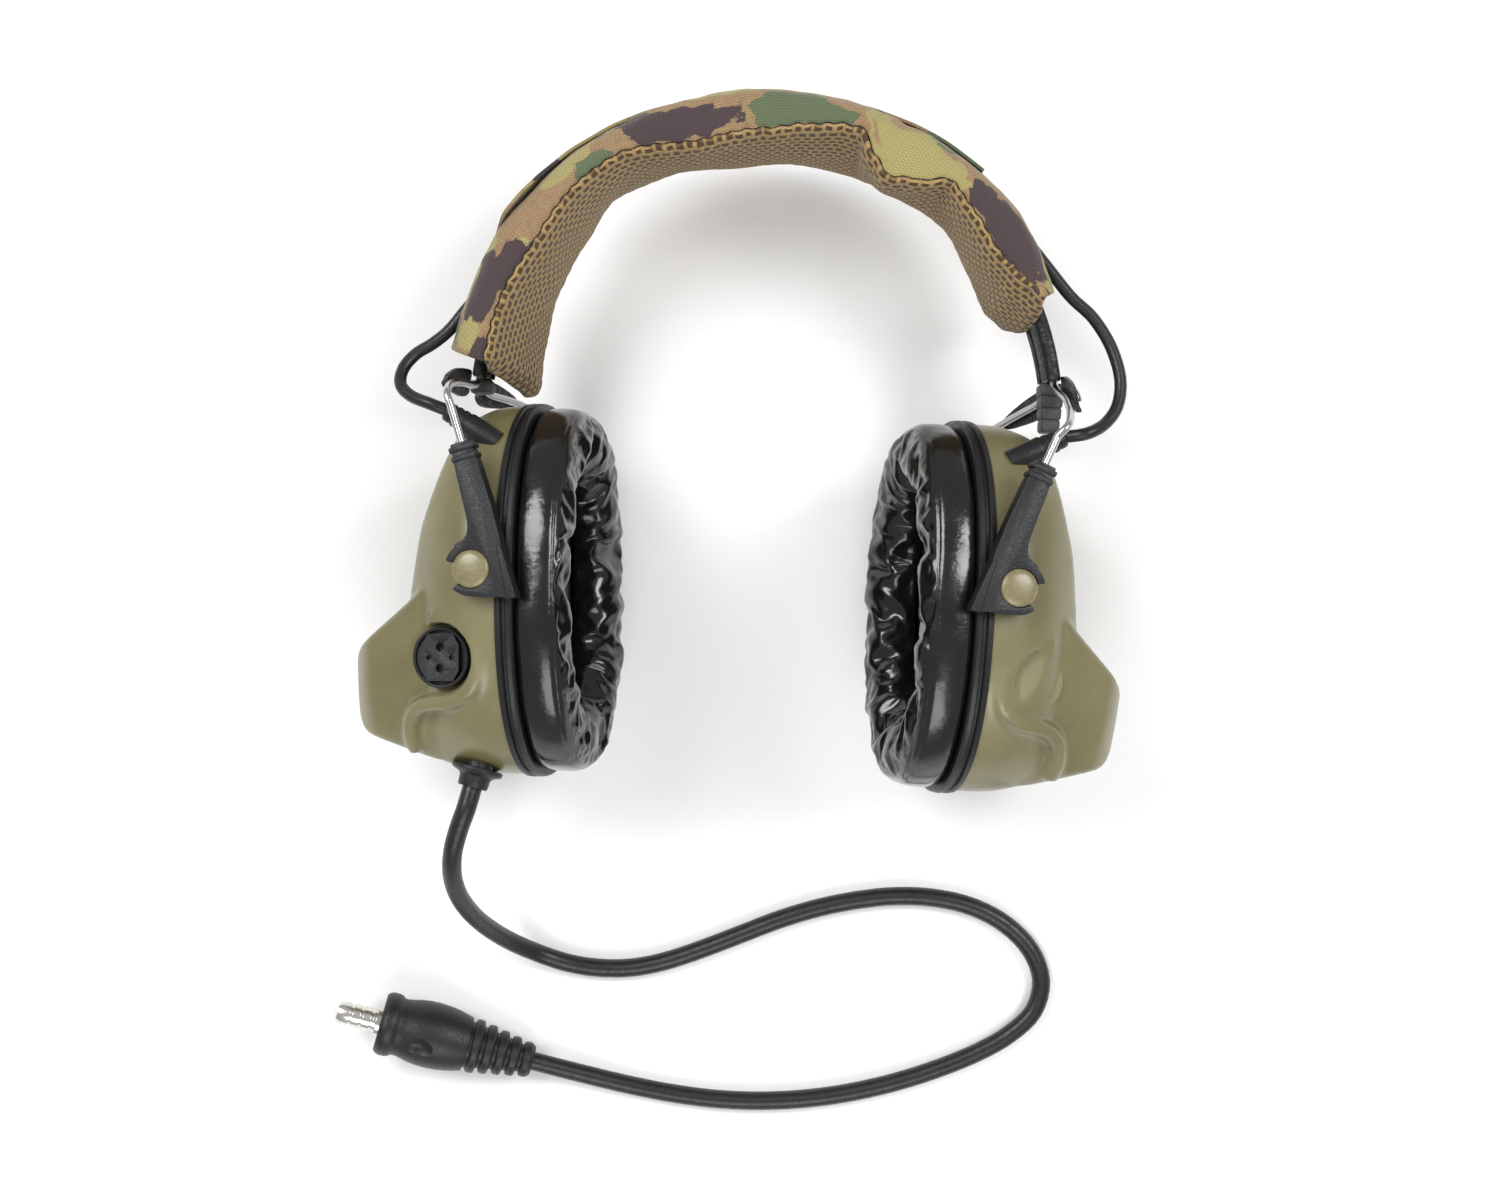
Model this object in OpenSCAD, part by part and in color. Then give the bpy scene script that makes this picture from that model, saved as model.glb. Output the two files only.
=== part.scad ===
// Communication headset for radio use: two ear cups on spring wires, a padded
// headband in a wrap-around cloth cover, and one lead with a moulded plug.
// It lies on its back on a table: X runs across it from the cup with the lead
// to the other one, Y to the crown, and Z up from the table.

/* [Posture] */
// Angle between the headset's own plane and the table, crown down, in degrees
lie = 1; // [0.5:0.25:1.5]
// Turn of each ear cup, so that the two cushions open towards the front
toe = 10.5; // [9:0.5:11]

/* [Headband] */
// Radius of the spring wires over the head
arch_r = 82; // [80:0.5:83]
// Width of the leather strap, front to back
strap_w = 20; // [19:0.5:20]
// Thickness of the leather strap
strap_t = 3; // [2.8:0.1:3.2]
// Diameter of a spring wire
wire_d = 2.2; // [2:0.05:2.25]
// Width of the cloth cover, front to back
cover_w = 48; // [46:0.5:49]

/* [Ear cups] */
// Height of an ear cup's oval
cup_h = 105; // [104:0.5:106]
// Depth of an ear cup's oval, front to back
cup_d = 78; // [77.5:0.25:78.5]
// Wall of an ear cup shell
wall = 2; // [1.8:0.1:2.2]
// Thickness of an ear cushion
cushion_t = 13; // [10:0.5:14]

/* [Leads] */
// Diameter of the lead that links the two ear cups
link_d = 3.5; // [3:0.1:3.6]
// Diameter of the lead to the radio
lead_d = 5.6; // [5.2:0.1:5.6]
// Diameter of the plug's metal barrel
barrel_d = 7.1; // [6.8:0.1:7.2]
// Length of the plug's metal barrel
barrel_l = 14; // [12:1:16]

/* [Hidden] */
$fn = 64;
gap = 0.05;

// Where the headset's own plane crosses the table frame
origin_x = 3.47;
origin_y = -45;
lift = 46.91;

// Arch of the headband: its centre, and where its parts end, in degrees
// from the crown, the left side first
arch_x = 4.6;
arch_y = 52.8;
strap_end = [83, 84];
cover_end = [77, 66];
pad_end = [81.5, 70];
run_end = [67.2, 55.2];

// Pivot of each ear cup in the headset's plane, left then right
pivot_x = [66.5, 63.8];
pivot_y = [8.3, 3.2];
cup_tilt = [0, 3];
shell_lean = [0, 5];
arm_lean = [17, 25];

// The ear cup's oval stands this far from the pivot
oval_y = -5.5;
mouth_x = 4.6;
seal_t = 5;
stud_r = 5.2;
stud_z = 39.3;
arm_z = 40.2;
arm_t = 5;
arm_top = 33.5;
grip_x = 6.9;
grip_z = arm_z + arm_t / 2;
leg_end = 4;
leg_top = [44, 42];
wire_r = wire_d / 2;
link_r = link_d / 2;
lead_r = lead_d / 2;

// Side outline of a shell, outboard to the left, and of the snout on it
body_outline = [
    [mouth_x, 48], [-2, 47], [-7, 43], [-11.5, 36], [-16.3, 22], [-20.1, 12],
    [-24.6, -6.6], [-27, -22], [-26, -38], [-18.3, -53.6], [-7, -58.6], [mouth_x, -58.6]
];
snout_outline = [
    [-18, -6], [-26.4, -12], [-41.8, -23], [-43, -28], [-43.4, -41],
    [-40.7, -45.8], [-18.3, -53.6], [-10, -50]
];
snout_z = 29;

// Fittings of a shell, in its own frame
screw_y = 30;
screw_z = 27.5;
pocket = [-12, -24];
pocket_r = 8.6;
pocket_floor = 31;
battery = [-30, -33];
battery_r = 5.25;
cap_r = 7.8;
cap_z = 29.5;
mic_y = -36.3;
mic_x = -43.5;
boot_at = [-2.7, 37.5, 25];
boot_turn = 147;
boot_rise = 5;
boot_l = 12;
boot_in = 5;
gland_at = [-7.3, -55.2, 14.6];
gland_rise = 10;
gland_turn = 14;
gland_l = 6;
button_x = -12;
button_y = [-14, -24, -34];
button_r = 3.2;
button_out = 1.2;
board_x = -12.5;
speaker_r = 20;

// Plug: where its tail and its front face are on the table
plug_tail = [-66.5, -141.5, 6.5];
plug_nose = [-112, -128.5, 11.7];
plug_l = norm(plug_nose - plug_tail);

// Routes of the link lead's two loops, from the band to the cup
loop_left = [
    [-76.2, 85.5, 14], [-80.5, 80.3, 14], [-84.6, 75.4, 14], [-89, 71.8, 14.3],
    [-93.6, 68.8, 15], [-96.8, 64.6, 16.6], [-97.2, 60, 18.8], [-94, 56.6, 21.2],
    [-88.6, 54.3, 23.6]
];
loop_right = [
    [76.9, 101.5, 14], [83.6, 93, 14], [90, 85, 14], [96.2, 79, 14.2],
    [101, 71, 15], [103.4, 62, 16.5], [102.4, 54.3, 18.5], [98.6, 49, 21],
    [93.2, 46, 24]
];

// Spring wires between the strap's ends and the arms, left then right: the
// front wire splays forwards and outwards, the rear one back and inwards
splay_front = [
    [[-77.3, 61.2, 8.6], [-78.2, 60.4, 14], [-79.4, 60, 24], [-80.8, 59, 34],
     [-81.5, 57, 39], [-81.3, 54.8, 40.6]],
    [[86.5, 59.5, 9], [86.9, 57.5, 16], [87.1, 55, 26], [87, 51.5, 34],
     [86.2, 48, 38.6], [84.9, 46.2, 40.1]]
];
splay_rear = [
    [[-76.9, 61, -8.6], [-76, 60, -14], [-72.5, 59.5, -24], [-68.6, 58.6, -34],
     [-66, 57, -40], [-65.2, 55, -42.2]],
    [[86, 59.5, -9], [84.6, 57.5, -15], [79.8, 55, -26], [74.4, 52, -36],
     [70.6, 48.6, -42.3], [69, 46.6, -43.7]]
];

// Route of the lead on the table, after it leaves the gland
lead_route = [
    [-81.7, -63.8, 61.3], [-83.7, -70.3, 58.7], [-84.7, -76.9, 53.8], [-84.5, -83.1, 46.8],
    [-83.1, -88.9, 38.3], [-80.6, -94.4, 29], [-76.9, -99.6, 19.6], [-71.8, -104.4, 11.4],
    [-65, -108.6, 5.4], [-56.5, -111.9, 3.2], [-47, -113.6, 2.85], [-36.5, -113.6, 2.85],
    [-26, -111.6, 2.85], [-14.5, -107.8, 2.85], [-3, -103.4, 2.85], [9, -98.8, 2.85],
    [21, -95.2, 2.85], [33, -92.8, 2.85], [45, -91.6, 2.85], [57, -92.2, 2.85],
    [68.5, -95, 2.85], [78.5, -100.4, 2.85], [86, -108.2, 2.85], [89.4, -117.6, 2.85],
    [87, -127, 2.85], [79.8, -134, 2.85], [70.5, -139.4, 2.85], [58.5, -144.4, 2.85],
    [45.5, -148.6, 2.85], [32, -151.8, 2.85], [18.5, -153.8, 2.85], [5, -154.6, 2.85],
    [-8.5, -154.2, 2.85], [-22, -152.6, 2.85], [-36, -149.9, 3], [-51, -146, 4.4]
];

// Turn a point about the Z axis
function spin(p, a) = [p.x * cos(a) - p.y * sin(a), p.x * sin(a) + p.y * cos(a), p.z];
// A point of one side's frame, in the headset's plane
function side_point(s, p) =
    let (x = p.x * cos(toe) - p.z * sin(toe) - pivot_x[s], z = p.x * sin(toe) + p.z * cos(toe))
    [s == 0 ? x : -x, p.y + pivot_y[s], z];
function arm_point(s, p) = side_point(s, spin(p, arm_lean[s]));
function shell_point(s, p) = side_point(s, spin(p, cup_tilt[s] + shell_lean[s]));
// A point of the headset's plane, on the table
function table_point(p) = [p.x, p.y * cos(lie) + p.z * sin(lie), p.z * cos(lie) - p.y * sin(lie) + lift];
function arch_point(r, a, z) = [arch_x - r * sin(a), arch_y + r * cos(a), z];

function unit(v) = v / norm(v);
// Points of a smooth line through p, with k steps between neighbours
function smooth(p, k) = concat(
    [for (i = [0:len(p) - 2], j = [0:k - 1])
        let (a = p[max(i - 1, 0)], b = p[i], c = p[i + 1], d = p[min(i + 2, len(p) - 1)], t = j / k)
        0.5 * (2 * b + (c - a) * t + (2 * a - 5 * b + 4 * c - d) * t * t
            + (3 * b - a - 3 * c + d) * t * t * t)],
    [p[len(p) - 1]]);
function tangents(p) = [for (i = [0:len(p) - 1]) unit(p[min(i + 1, len(p) - 1)] - p[max(i - 1, 0)])];
function flat_to(n, t) = unit(n - (n * t) * t);
function normals(t) = [
    for (i = 0, n = flat_to([0.3, 0.2, 1], t[0]); i < len(t);
        i = i + 1, n = flat_to(n, t[min(i, len(t) - 1)])) n];

// Round tube swept along a line of points
module tube(path, r, sides) {
    t = tangents(path);
    n = normals(t);
    rings = [for (i = [0:len(path) - 1], j = [0:sides - 1])
        let (a = 360 * j / sides) path[i] + r * (cos(a) * n[i] + sin(a) * cross(t[i], n[i]))];
    last = (len(path) - 1) * sides;
    sides_faces = [for (i = [0:len(path) - 2], j = [0:sides - 1])
        let (k = (j + 1) % sides)
        [i * sides + k, i * sides + j, (i + 1) * sides + j, (i + 1) * sides + k]];
    ends = [[for (j = [0:sides - 1]) j], [for (j = [sides - 1:-1:0]) last + j]];
    polyhedron(points = rings, faces = concat(sides_faces, ends), convexity = 8);
}

// Full oval, a superellipse, as points
function oval(h, d) = [for (i = [0:47]) let (a = 7.5 * i)
    [h / 2 * sign(cos(a)) * pow(abs(cos(a)), 0.87), d / 2 * sign(sin(a)) * pow(abs(sin(a)), 0.87)]];

// Outline moved inwards by d, each corner along its bisector
function inset(p, d) = let (n = len(p)) [for (i = [0:n - 1])
    let (a = p[(i + n - 1) % n], b = p[i], c = p[(i + 1) % n],
        m = unit([a.y - b.y, b.x - a.x]), q = unit([b.y - c.y, c.x - b.x]))
    b + d * (m + q) / (1 + m * q)];

module lay() {
    translate([origin_x, origin_y, lift]) rotate([-lie, 0, 0]) children();
}
module on_table() {
    translate([origin_x, origin_y, 0]) children();
}
module side(s) {
    lay() mirror([s, 0, 0]) translate([-pivot_x[s], pivot_y[s], 0]) rotate([0, -toe, 0]) children();
}
module in_cup(s) {
    side(s) rotate([0, 0, cup_tilt[s]]) children();
}
module leaned(s) {
    rotate([0, 0, shell_lean[s]]) children();
}
module in_shell(s) {
    in_cup(s) leaned(s) children();
}
module in_arms(s) {
    side(s) rotate([0, 0, arm_lean[s]]) children();
}
// Oval prism along X, from x0 to x1
module oval_prism(h, d, x0, x1) {
    translate([x0, oval_y, 0]) rotate([90, 0, 90]) linear_extrude(x1 - x0) polygon(oval(h, d));
}
module profile(points, z) {
    translate([0, 0, -z]) linear_extrude(2 * z) polygon(points);
}
// Rod along X at y, z
module rod_x(x0, x1, r, y, z) {
    translate([x0, y, z]) rotate([0, 90, 0]) cylinder(h = x1 - x0, r = r);
}
module arch(left, right) {
    lay() translate([arch_x, arch_y, 0])
        rotate_extrude(start = 90 - right, angle = left + right, $fn = 180) children();
}
module boot_frame() {
    translate(boot_at) rotate([0, 0, boot_turn]) rotate([0, 90 - boot_rise, 0]) children();
}
module gland_frame() {
    translate(gland_at) rotate([0, 0, -gland_turn]) rotate([90 - gland_rise, 0, 0]) children();
}

// Spring wire over the head, in front for front = 1 and behind for front = -1
module spring_wire(front, splay) {
    over = [for (i = [0:42])
        arch_point(arch_r, strap_end[0] - i * (strap_end[0] + strap_end[1]) / 42, front * 7)];
    legs = [for (s = [0, 1], y = [leg_top[s], leg_top[s] - 3]) arm_point(s, [grip_x, y, front * grip_z])];
    color("silver") {
        lay() tube(concat([legs[1], legs[0]], [for (i = [5:-1:0]) splay[0][i]], over, splay[1],
            [legs[2], legs[3]]), wire_r - 0.02, 8);
        for (s = [0, 1])
            in_arms(s) translate([grip_x, leg_end, front * grip_z]) rotate([-90, 0, 0])
                cylinder(h = leg_top[s] - leg_end, r = wire_r, $fn = 32);
    }
}
module spring_wire_front() {
    spring_wire(1, splay_front);
}
module spring_wire_rear() {
    spring_wire(-1, splay_rear);
}

module head_strap() {
    color("dimgray")
        arch(strap_end[0], strap_end[1])
            difference() {
                translate([arch_r - strap_t / 2, -strap_w / 2]) square([strap_t, strap_w]);
                for (z = [-7, 7])
                    translate([arch_r, z]) circle(r = wire_r + 0.1, $fn = 32);
            }
}
// Stepped rubber sleeve on the end of the band
module band_end(x, y, turn, steps) {
    lay() translate([x, y, 0]) rotate([0, 0, turn])
        for (i = [0:len(steps) - 1])
            translate([-steps[i] / 2, -3.4 * (i + 1), -5]) cube([steps[i], i == 0 ? 3.4 : 3.41, 10]);
}
module band_end_left() {
    color("black") band_end(arch_x - arch_r * sin(strap_end[0]), arch_y + arch_r * cos(strap_end[0]) - 0.3, 4, [6.4]);
}
module band_end_right() {
    color("black")
        band_end(arch_x + arch_r * sin(strap_end[1]), arch_y + arch_r * cos(strap_end[1]) - 0.3, -3, [7, 6.4, 5.8, 5.2]);
}

// Leather tabs outside the wires where they leave the strap, front and back
module strap_tabs(s) {
    out = [s == 0 ? -2.8 : 2.8, 0.4, 0];
    color("black")
        lay()
            for (w = [splay_front[s], splay_rear[s]], i = [0:2])
                hull()
                    for (p = [w[i], w[i + 1]])
                        translate(p + out) cube([1.3, 5 - i, 1.3], center = true);
}
module strap_tabs_left() {
    strap_tabs(0);
}
module strap_tabs_right() {
    strap_tabs(1);
}

// The link lead's run inside the cover, and its tunnel out of it
run_r = 87.2;
run_z = 14;
module tunnel(p, q) {
    lay() translate(p) multmatrix(along(q - p)) cylinder(h = norm(q - p) * 1.3, r = link_r + 0.35, $fn = 24);
}
// Matrix that turns the Z axis to the direction v, which lies in the XY plane
function along(v) = let (w = unit(v)) [[-w.y, 0, w.x, 0], [w.x, 0, w.y, 0], [0, 1, 0, 0], [0, 0, 0, 1]];
module cover_fabric() {
    w = cover_w / 2;
    color("darkkhaki")
        difference() {
            arch(cover_end[0], cover_end[1])
                difference() {
                    polygon([[80.4, w], [86, w], [89.3, w - 3], [90.5, w - 9], [90.5, 9 - w],
                        [89.3, 3 - w], [86, -w], [80.4, -w], [80.4, -10.6], [84, -10.6],
                        [84, 10.6], [80.4, 10.6]]);
                    translate([run_r, run_z]) circle(r = link_r + 0.1, $fn = 32);
                }
            tunnel(loop_left[0], loop_left[2]);
            tunnel(loop_right[0], loop_right[2]);
        }
}
module cover_pad() {
    w = cover_w / 2;
    color("tan")
        arch(pad_end[0], pad_end[1])
            polygon([[77, 4 - w], [78, 0.6 - w], [80.2, -w], [80.2, w], [78, w - 0.6], [77, w - 4]]);
}
module cover_flap() {
    color("olive")
        arch(58, 42) polygon([[90.7, -8], [92, -8], [92, 15], [90.7, 15]]);
}
module link_run() {
    color("black")
        arch(run_end[0], run_end[1]) translate([run_r, run_z]) circle(r = link_r, $fn = 32);
}
module link_loop(points, s, part) {
    line = concat(points, [shell_point(s, boot_at + (boot_l + 1.4) * boot_dir)]);
    half = 5;
    lay() color("black")
        tube(smooth([for (i = part == 0 ? [0:half] : [half:len(line) - 1]) line[i]], 3), link_r, 8);
}
boot_dir = [cos(boot_turn) * cos(boot_rise), sin(boot_turn) * cos(boot_rise), sin(boot_rise)];
module link_loop_left_upper() {
    link_loop(loop_left, 0, 0);
}
module link_loop_left_lower() {
    link_loop(loop_left, 0, 1);
}
module link_loop_right_upper() {
    link_loop(loop_right, 1, 0);
}
module link_loop_right_lower() {
    link_loop(loop_right, 1, 1);
}

// Arm that clips on a pivot stud and grips a spring wire
module arm(s, front) {
    in_arms(s) mirror([0, 0, front == 1 ? 0 : 1]) color("black")
        difference() {
            union() {
                translate([0, 0, arm_z]) linear_extrude(arm_t)
                    polygon([[4.4, arm_top], [9.6, arm_top], [10.4, 25], [10.4, 8], [9, 0], [9.3, -10.5],
                        [5, -9.8], [-2, -6.9], [-2, 6], [1.2, 7.5], [3, 10], [3.6, 25]]);
                translate([0, 0, arm_z]) cylinder(h = arm_t, r = 6.8);
            }
            translate([0, 0, arm_z - 1]) cylinder(h = arm_t + 2, r = stud_r + 0.07);
            translate([0, 0, arm_z - 1]) linear_extrude(arm_t + 2)
                polygon([[0, 0], [-9, 7.2], [-12, 0], [-9, -6.3]]);
            translate([grip_x, -8, grip_z]) rotate([-90, 0, 0])
                cylinder(h = arm_top + 10, r = wire_r + 0.08, $fn = 32);
        }
}
module front_arm_left() {
    arm(0, 1);
}
module rear_arm_left() {
    arm(0, 0);
}
module front_arm_right() {
    arm(1, 1);
}
module rear_arm_right() {
    arm(1, 0);
}

// Outer form of a shell, made thinner all over by d
module shell_form(s, d) {
    outline = [for (p = body_outline) p.x < -5 ? spin([p.x, p.y, 0], shell_lean[s]) : p];
    open = d > 0 ? 4 : 0;
    intersection() {
        profile([for (p = inset(outline, d)) p.x > 0 ? [mouth_x + open, p.y] : [p.x, p.y]], 60);
        oval_prism(cup_h - 2 * d, cup_d - 2 * d, -60, 20);
    }
    leaned(s)
        intersection() {
            profile(inset(snout_outline, d), 60);
            oval_prism(cup_h - 2 * d, 2 * (snout_z - d), -60, 20);
        }
}
module shell(s) {
    in_cup(s) color("darkolivegreen")
        difference() {
            union() {
                difference() {
                    shell_form(s, 0);
                    shell_form(s, wall);
                }
                intersection() {
                    shell_form(s, 0);
                    union() {
                        for (y = [-1, 1], z = [-1, 1])
                            rod_x(-6, 2.1, 4.6, oval_y + y * screw_y, z * screw_z);
                        leaned(s) translate([pocket.x, pocket.y, pocket_floor - 2.5])
                            cylinder(h = 12, r = pocket_r + 1.8);
                    }
                }
                leaned(s) translate([battery.x, battery.y, -cap_z]) cylinder(h = 7.5, r = cap_r + 1.4);
            }
            for (z = [-1, 1]) {
                translate([0, 0, z * 37 - 6]) cylinder(h = 12, r = 2.55, $fn = 32);
                for (y = [-1, 1])
                    rod_x(-8, 3, 1.45, oval_y + y * screw_y, z * screw_z);
            }
            leaned(s) shell_openings(s);
        }
}
module shell_openings(s) {
    translate([pocket.x, pocket.y, pocket_floor]) cylinder(h = 14, r = pocket_r);
    translate([battery.x, battery.y, -cap_z - 1]) cylinder(h = 20, r = 6.1);
    translate([battery.x, battery.y, -cap_z - 1]) cylinder(h = 4.1, r = cap_r + 0.1);
    rod_x(mic_x - 4, mic_x + 8, 4, mic_y, 0);
    boot_frame() translate([0, 0, -12]) cylinder(h = 30, r = 3.5, $fn = 32);
    if (s == 0) {
        translate([pocket.x, pocket.y, 20]) cylinder(h = 14, r = 5.7);
        gland_frame() translate([0, 0, -6]) cylinder(h = 20, r = 4.1, $fn = 48);
        gland_frame() cylinder(h = 20, r = 7.4);
        for (y = button_y)
            translate([button_x, y, -50]) cylinder(h = 30, r = button_r + 0.1);
    }
}
module shell_left() {
    shell(0);
}
module shell_right() {
    shell(1);
}
module pivot_studs(s) {
    in_cup(s) color("olive")
        for (z = [0, 1])
            mirror([0, 0, z])
                rotate_extrude()
                    polygon([[0, stud_z - 5.2], [2.5, stud_z - 5.2], [2.5, stud_z], [stud_r, stud_z],
                        [stud_r, arm_z + arm_t], [stud_r - 0.7, arm_z + arm_t + 0.6], [0, arm_z + arm_t + 0.9]]);
}
module pivot_studs_left() {
    pivot_studs(0);
}
module pivot_studs_right() {
    pivot_studs(1);
}
module seal_ring(s) {
    in_cup(s) color("black")
        difference() {
            union() {
                oval_prism(cup_h + 1.2, cup_d + 1.2, mouth_x + gap, mouth_x + 2);
                oval_prism(cup_h - 0.4, cup_d - 0.4, mouth_x + 1.9, mouth_x + 3.1);
                oval_prism(cup_h + 1.2, cup_d + 1.2, mouth_x + 3, mouth_x + seal_t);
            }
            oval_prism(cup_h - 11, cup_d - 11, mouth_x - 1, mouth_x + seal_t + 1);
        }
}
module seal_ring_left() {
    seal_ring(0);
}
module seal_ring_right() {
    seal_ring(1);
}
module baffle(s) {
    in_cup(s) color("darkslategray")
        difference() {
            oval_prism(cup_h - 2 * wall - 1, cup_d - 2 * wall - 1, 2.7, mouth_x - 0.2);
            for (y = [-1, 1], z = [-1, 1]) {
                rod_x(1, 6, 1.5, oval_y + y * screw_y, z * screw_z);
                rod_x(3.2, 6, 2.7, oval_y + y * screw_y, z * screw_z);
            }
            rod_x(1, 6, 2.5, oval_y, 0);
            for (a = [0:60:300])
                rod_x(1, 6, 2.5, oval_y + 9 * cos(a), 9 * sin(a));
        }
}
module baffle_left() {
    baffle(0);
}
module baffle_right() {
    baffle(1);
}
module baffle_screws(s) {
    in_cup(s) color("silver")
        for (y = [-1, 1], z = [-1, 1]) {
            rod_x(-5, 3.4, 1.4, oval_y + y * screw_y, z * screw_z);
            rod_x(3.25, mouth_x - 0.25, 2.6, oval_y + y * screw_y, z * screw_z);
        }
}
module baffle_screws_left() {
    baffle_screws(0);
}
module baffle_screws_right() {
    baffle_screws(1);
}
module foam_liner(s) {
    in_cup(s) color("midnightblue")
        oval_prism(cup_h - 12, cup_d - 12, mouth_x + 0.1, mouth_x + 3.8);
}
module foam_liner_left() {
    foam_liner(0);
}
module foam_liner_right() {
    foam_liner(1);
}
module ear_cushion(s) {
    x = mouth_x + seal_t + gap;
    in_cup(s) color("dimgray")
        difference() {
            union() {
                oval_prism(cup_h - 4, cup_d - 4, x, x + 2.5);
                oval_prism(cup_h - 2, cup_d - 2, x + 2.4, x + cushion_t - 2.5);
                oval_prism(cup_h - 6, cup_d - 6, x + cushion_t - 2.6, x + cushion_t);
            }
            oval_prism(66, 42, x - 1, x + cushion_t + 1);
        }
}
module ear_cushion_left() {
    ear_cushion(0);
}
module ear_cushion_right() {
    ear_cushion(1);
}
module speaker(s) {
    in_cup(s) color("gray") {
        rod_x(-4.5, 2.1, speaker_r, oval_y, 0);
        rod_x(-9.5, -4.4, 9, oval_y, 0);
    }
}
module speaker_left() {
    speaker(0);
}
module speaker_right() {
    speaker(1);
}
module circuit_board(s) {
    in_cup(s) color("green")
        translate([board_x, -30, -20]) {
            cube([1.6, 50, 40]);
            translate([-1.8, 14, 10]) cube([1.9, 12, 12]);
            translate([-1.2, 32, 22]) cube([1.3, 8, 6]);
        }
}
module circuit_board_left() {
    circuit_board(0);
}
module circuit_board_right() {
    circuit_board(1);
}
module battery_cell(s) {
    in_shell(s) color("goldenrod") {
        translate([battery.x, battery.y, -21.8]) cylinder(h = 43.6, r = battery_r);
        translate([battery.x, battery.y, 21.7]) cylinder(h = 1, r = 1.9);
    }
}
module battery_cell_left() {
    battery_cell(0);
}
module battery_cell_right() {
    battery_cell(1);
}
module battery_cap(s) {
    in_shell(s) color("black")
        translate([battery.x, battery.y, 0])
            difference() {
                union() {
                    translate([0, 0, -cap_z - 0.8]) cylinder(h = 3.8, r = cap_r);
                    translate([0, 0, -cap_z + 2.9]) cylinder(h = 3.6, r = 6);
                }
                translate([-6, -0.8, -cap_z - 1.8]) cube([12, 1.6, 2.2]);
            }
}
module battery_cap_left() {
    battery_cap(0);
}
module battery_cap_right() {
    battery_cap(1);
}
module mic_cap(s) {
    in_shell(s) color("black")
        difference() {
            union() {
                rod_x(mic_x - 2.8, mic_x - gap, 4.6, mic_y, 0);
                rod_x(mic_x - 0.2, mic_x + 3, 3.9, mic_y, 0);
            }
            for (y = [-2, 0, 2])
                translate([mic_x - 4, mic_y + y - 0.4, -3]) cube([2, 0.8, 6]);
        }
}
module mic_cap_left() {
    mic_cap(0);
}
module mic_cap_right() {
    mic_cap(1);
}
module mic_capsule(s) {
    in_shell(s) color("silver") rod_x(mic_x + 3.1, mic_x + 6.4, 3.5, mic_y, 0);
}
module mic_capsule_left() {
    mic_capsule(0);
}
module mic_capsule_right() {
    mic_capsule(1);
}
module link_boot(s) {
    in_shell(s) color("black")
        boot_frame()
            rotate_extrude($fn = 48)
                polygon([[0, -boot_in], [3.4, -boot_in], [3.4, 4], [3, 5], [3.2, 6], [2.8, 7], [3, 8],
                    [2.6, 9], [2.8, 10], [2.5, boot_l - gap], [0, boot_l - gap]]);
}
module link_boot_left() {
    link_boot(0);
}
module link_boot_right() {
    link_boot(1);
}

// Left cup only: socket for a boom microphone, controls, and the lead's gland
module mic_socket() {
    in_shell(0) color("dimgray")
        translate([pocket.x, pocket.y, 0])
            difference() {
                translate([0, 0, pocket_floor - 7]) cylinder(h = 7, r = 5.6);
                for (y = [-2.9, 2.9])
                    translate([0, y, pocket_floor - 5]) cylinder(h = 6, r = 1.2, $fn = 24);
                for (x = [-3.2, 3.2])
                    translate([x, 0, pocket_floor - 3]) cylinder(h = 4, r = 0.6, $fn = 24);
            }
}
module socket_blank() {
    in_shell(1) color("darkolivegreen")
        translate([pocket.x, pocket.y, pocket_floor + gap]) cylinder(h = 3.6, r = pocket_r - 0.1);
}
module control_button(i) {
    z = [38.7, 37.4, 34.5][i];
    in_shell(0) color("dimgray")
        translate([button_x, button_y[i], -z - button_out]) cylinder(h = button_out + 5, r = button_r);
}
module power_button() {
    control_button(0);
}
module volume_up_button() {
    control_button(1);
}
module volume_down_button() {
    control_button(2);
}
module lead_gland() {
    in_shell(0) color("black")
        gland_frame()
            rotate_extrude()
                polygon([[0, -5], [4, -5], [4, gap], [7.3, gap], [7.3, 1.6], [4.6, 2.1], [4.2, gland_l], [0, gland_l]]);
}
gland_dir = spin([0, -cos(gland_rise), sin(gland_rise)], -gland_turn);
gland_out = table_point(shell_point(0, gland_at + gland_l * gland_dir));
gland_next = table_point(shell_point(0, gland_at + (gland_l + 6) * gland_dir));
module radio_lead() {
    on_table() color("black")
        tube(smooth(concat([gland_out, gland_next], lead_route, [plug_tail]), 2), lead_r, 10);
}
module plug_frame() {
    v = plug_nose - plug_tail;
    on_table() translate(plug_tail)
        rotate([0, 0, atan2(v.y, v.x)]) rotate([0, 90 - asin(v.z / norm(v)), 0]) children();
}
module plug_body() {
    color("black")
        plug_frame()
            rotate_extrude()
                polygon(concat([[0, gap], [4.6, gap]],
                    [for (i = [0:4], p = [[5 + 0.7 * i, 1 + 4 * i], [5.3 + 0.7 * i, 3 + 4 * i],
                        [4.6 + 0.7 * i, 3.4 + 4 * i], [4.6 + 0.7 * i, 4.4 + 4 * i]]) p],
                    [[8.4, 22], [9.4, 27], [10, 33], [9.2, 38], [8.4, 42], [9.6, 43.5], [9.8, 46],
                    [9, plug_l], [0, plug_l]]));
}
module plug_barrel() {
    color("silver")
        plug_frame()
            translate([0, 0, plug_l + gap])
                rotate_extrude()
                    polygon([[0, 0], [4.7, 0], [4.7, 1.5], [barrel_d / 2, 1.6], [barrel_d / 2, barrel_l - 1.5],
                        [barrel_d / 2 - 1.2, barrel_l], [0, barrel_l]]);
}

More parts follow.
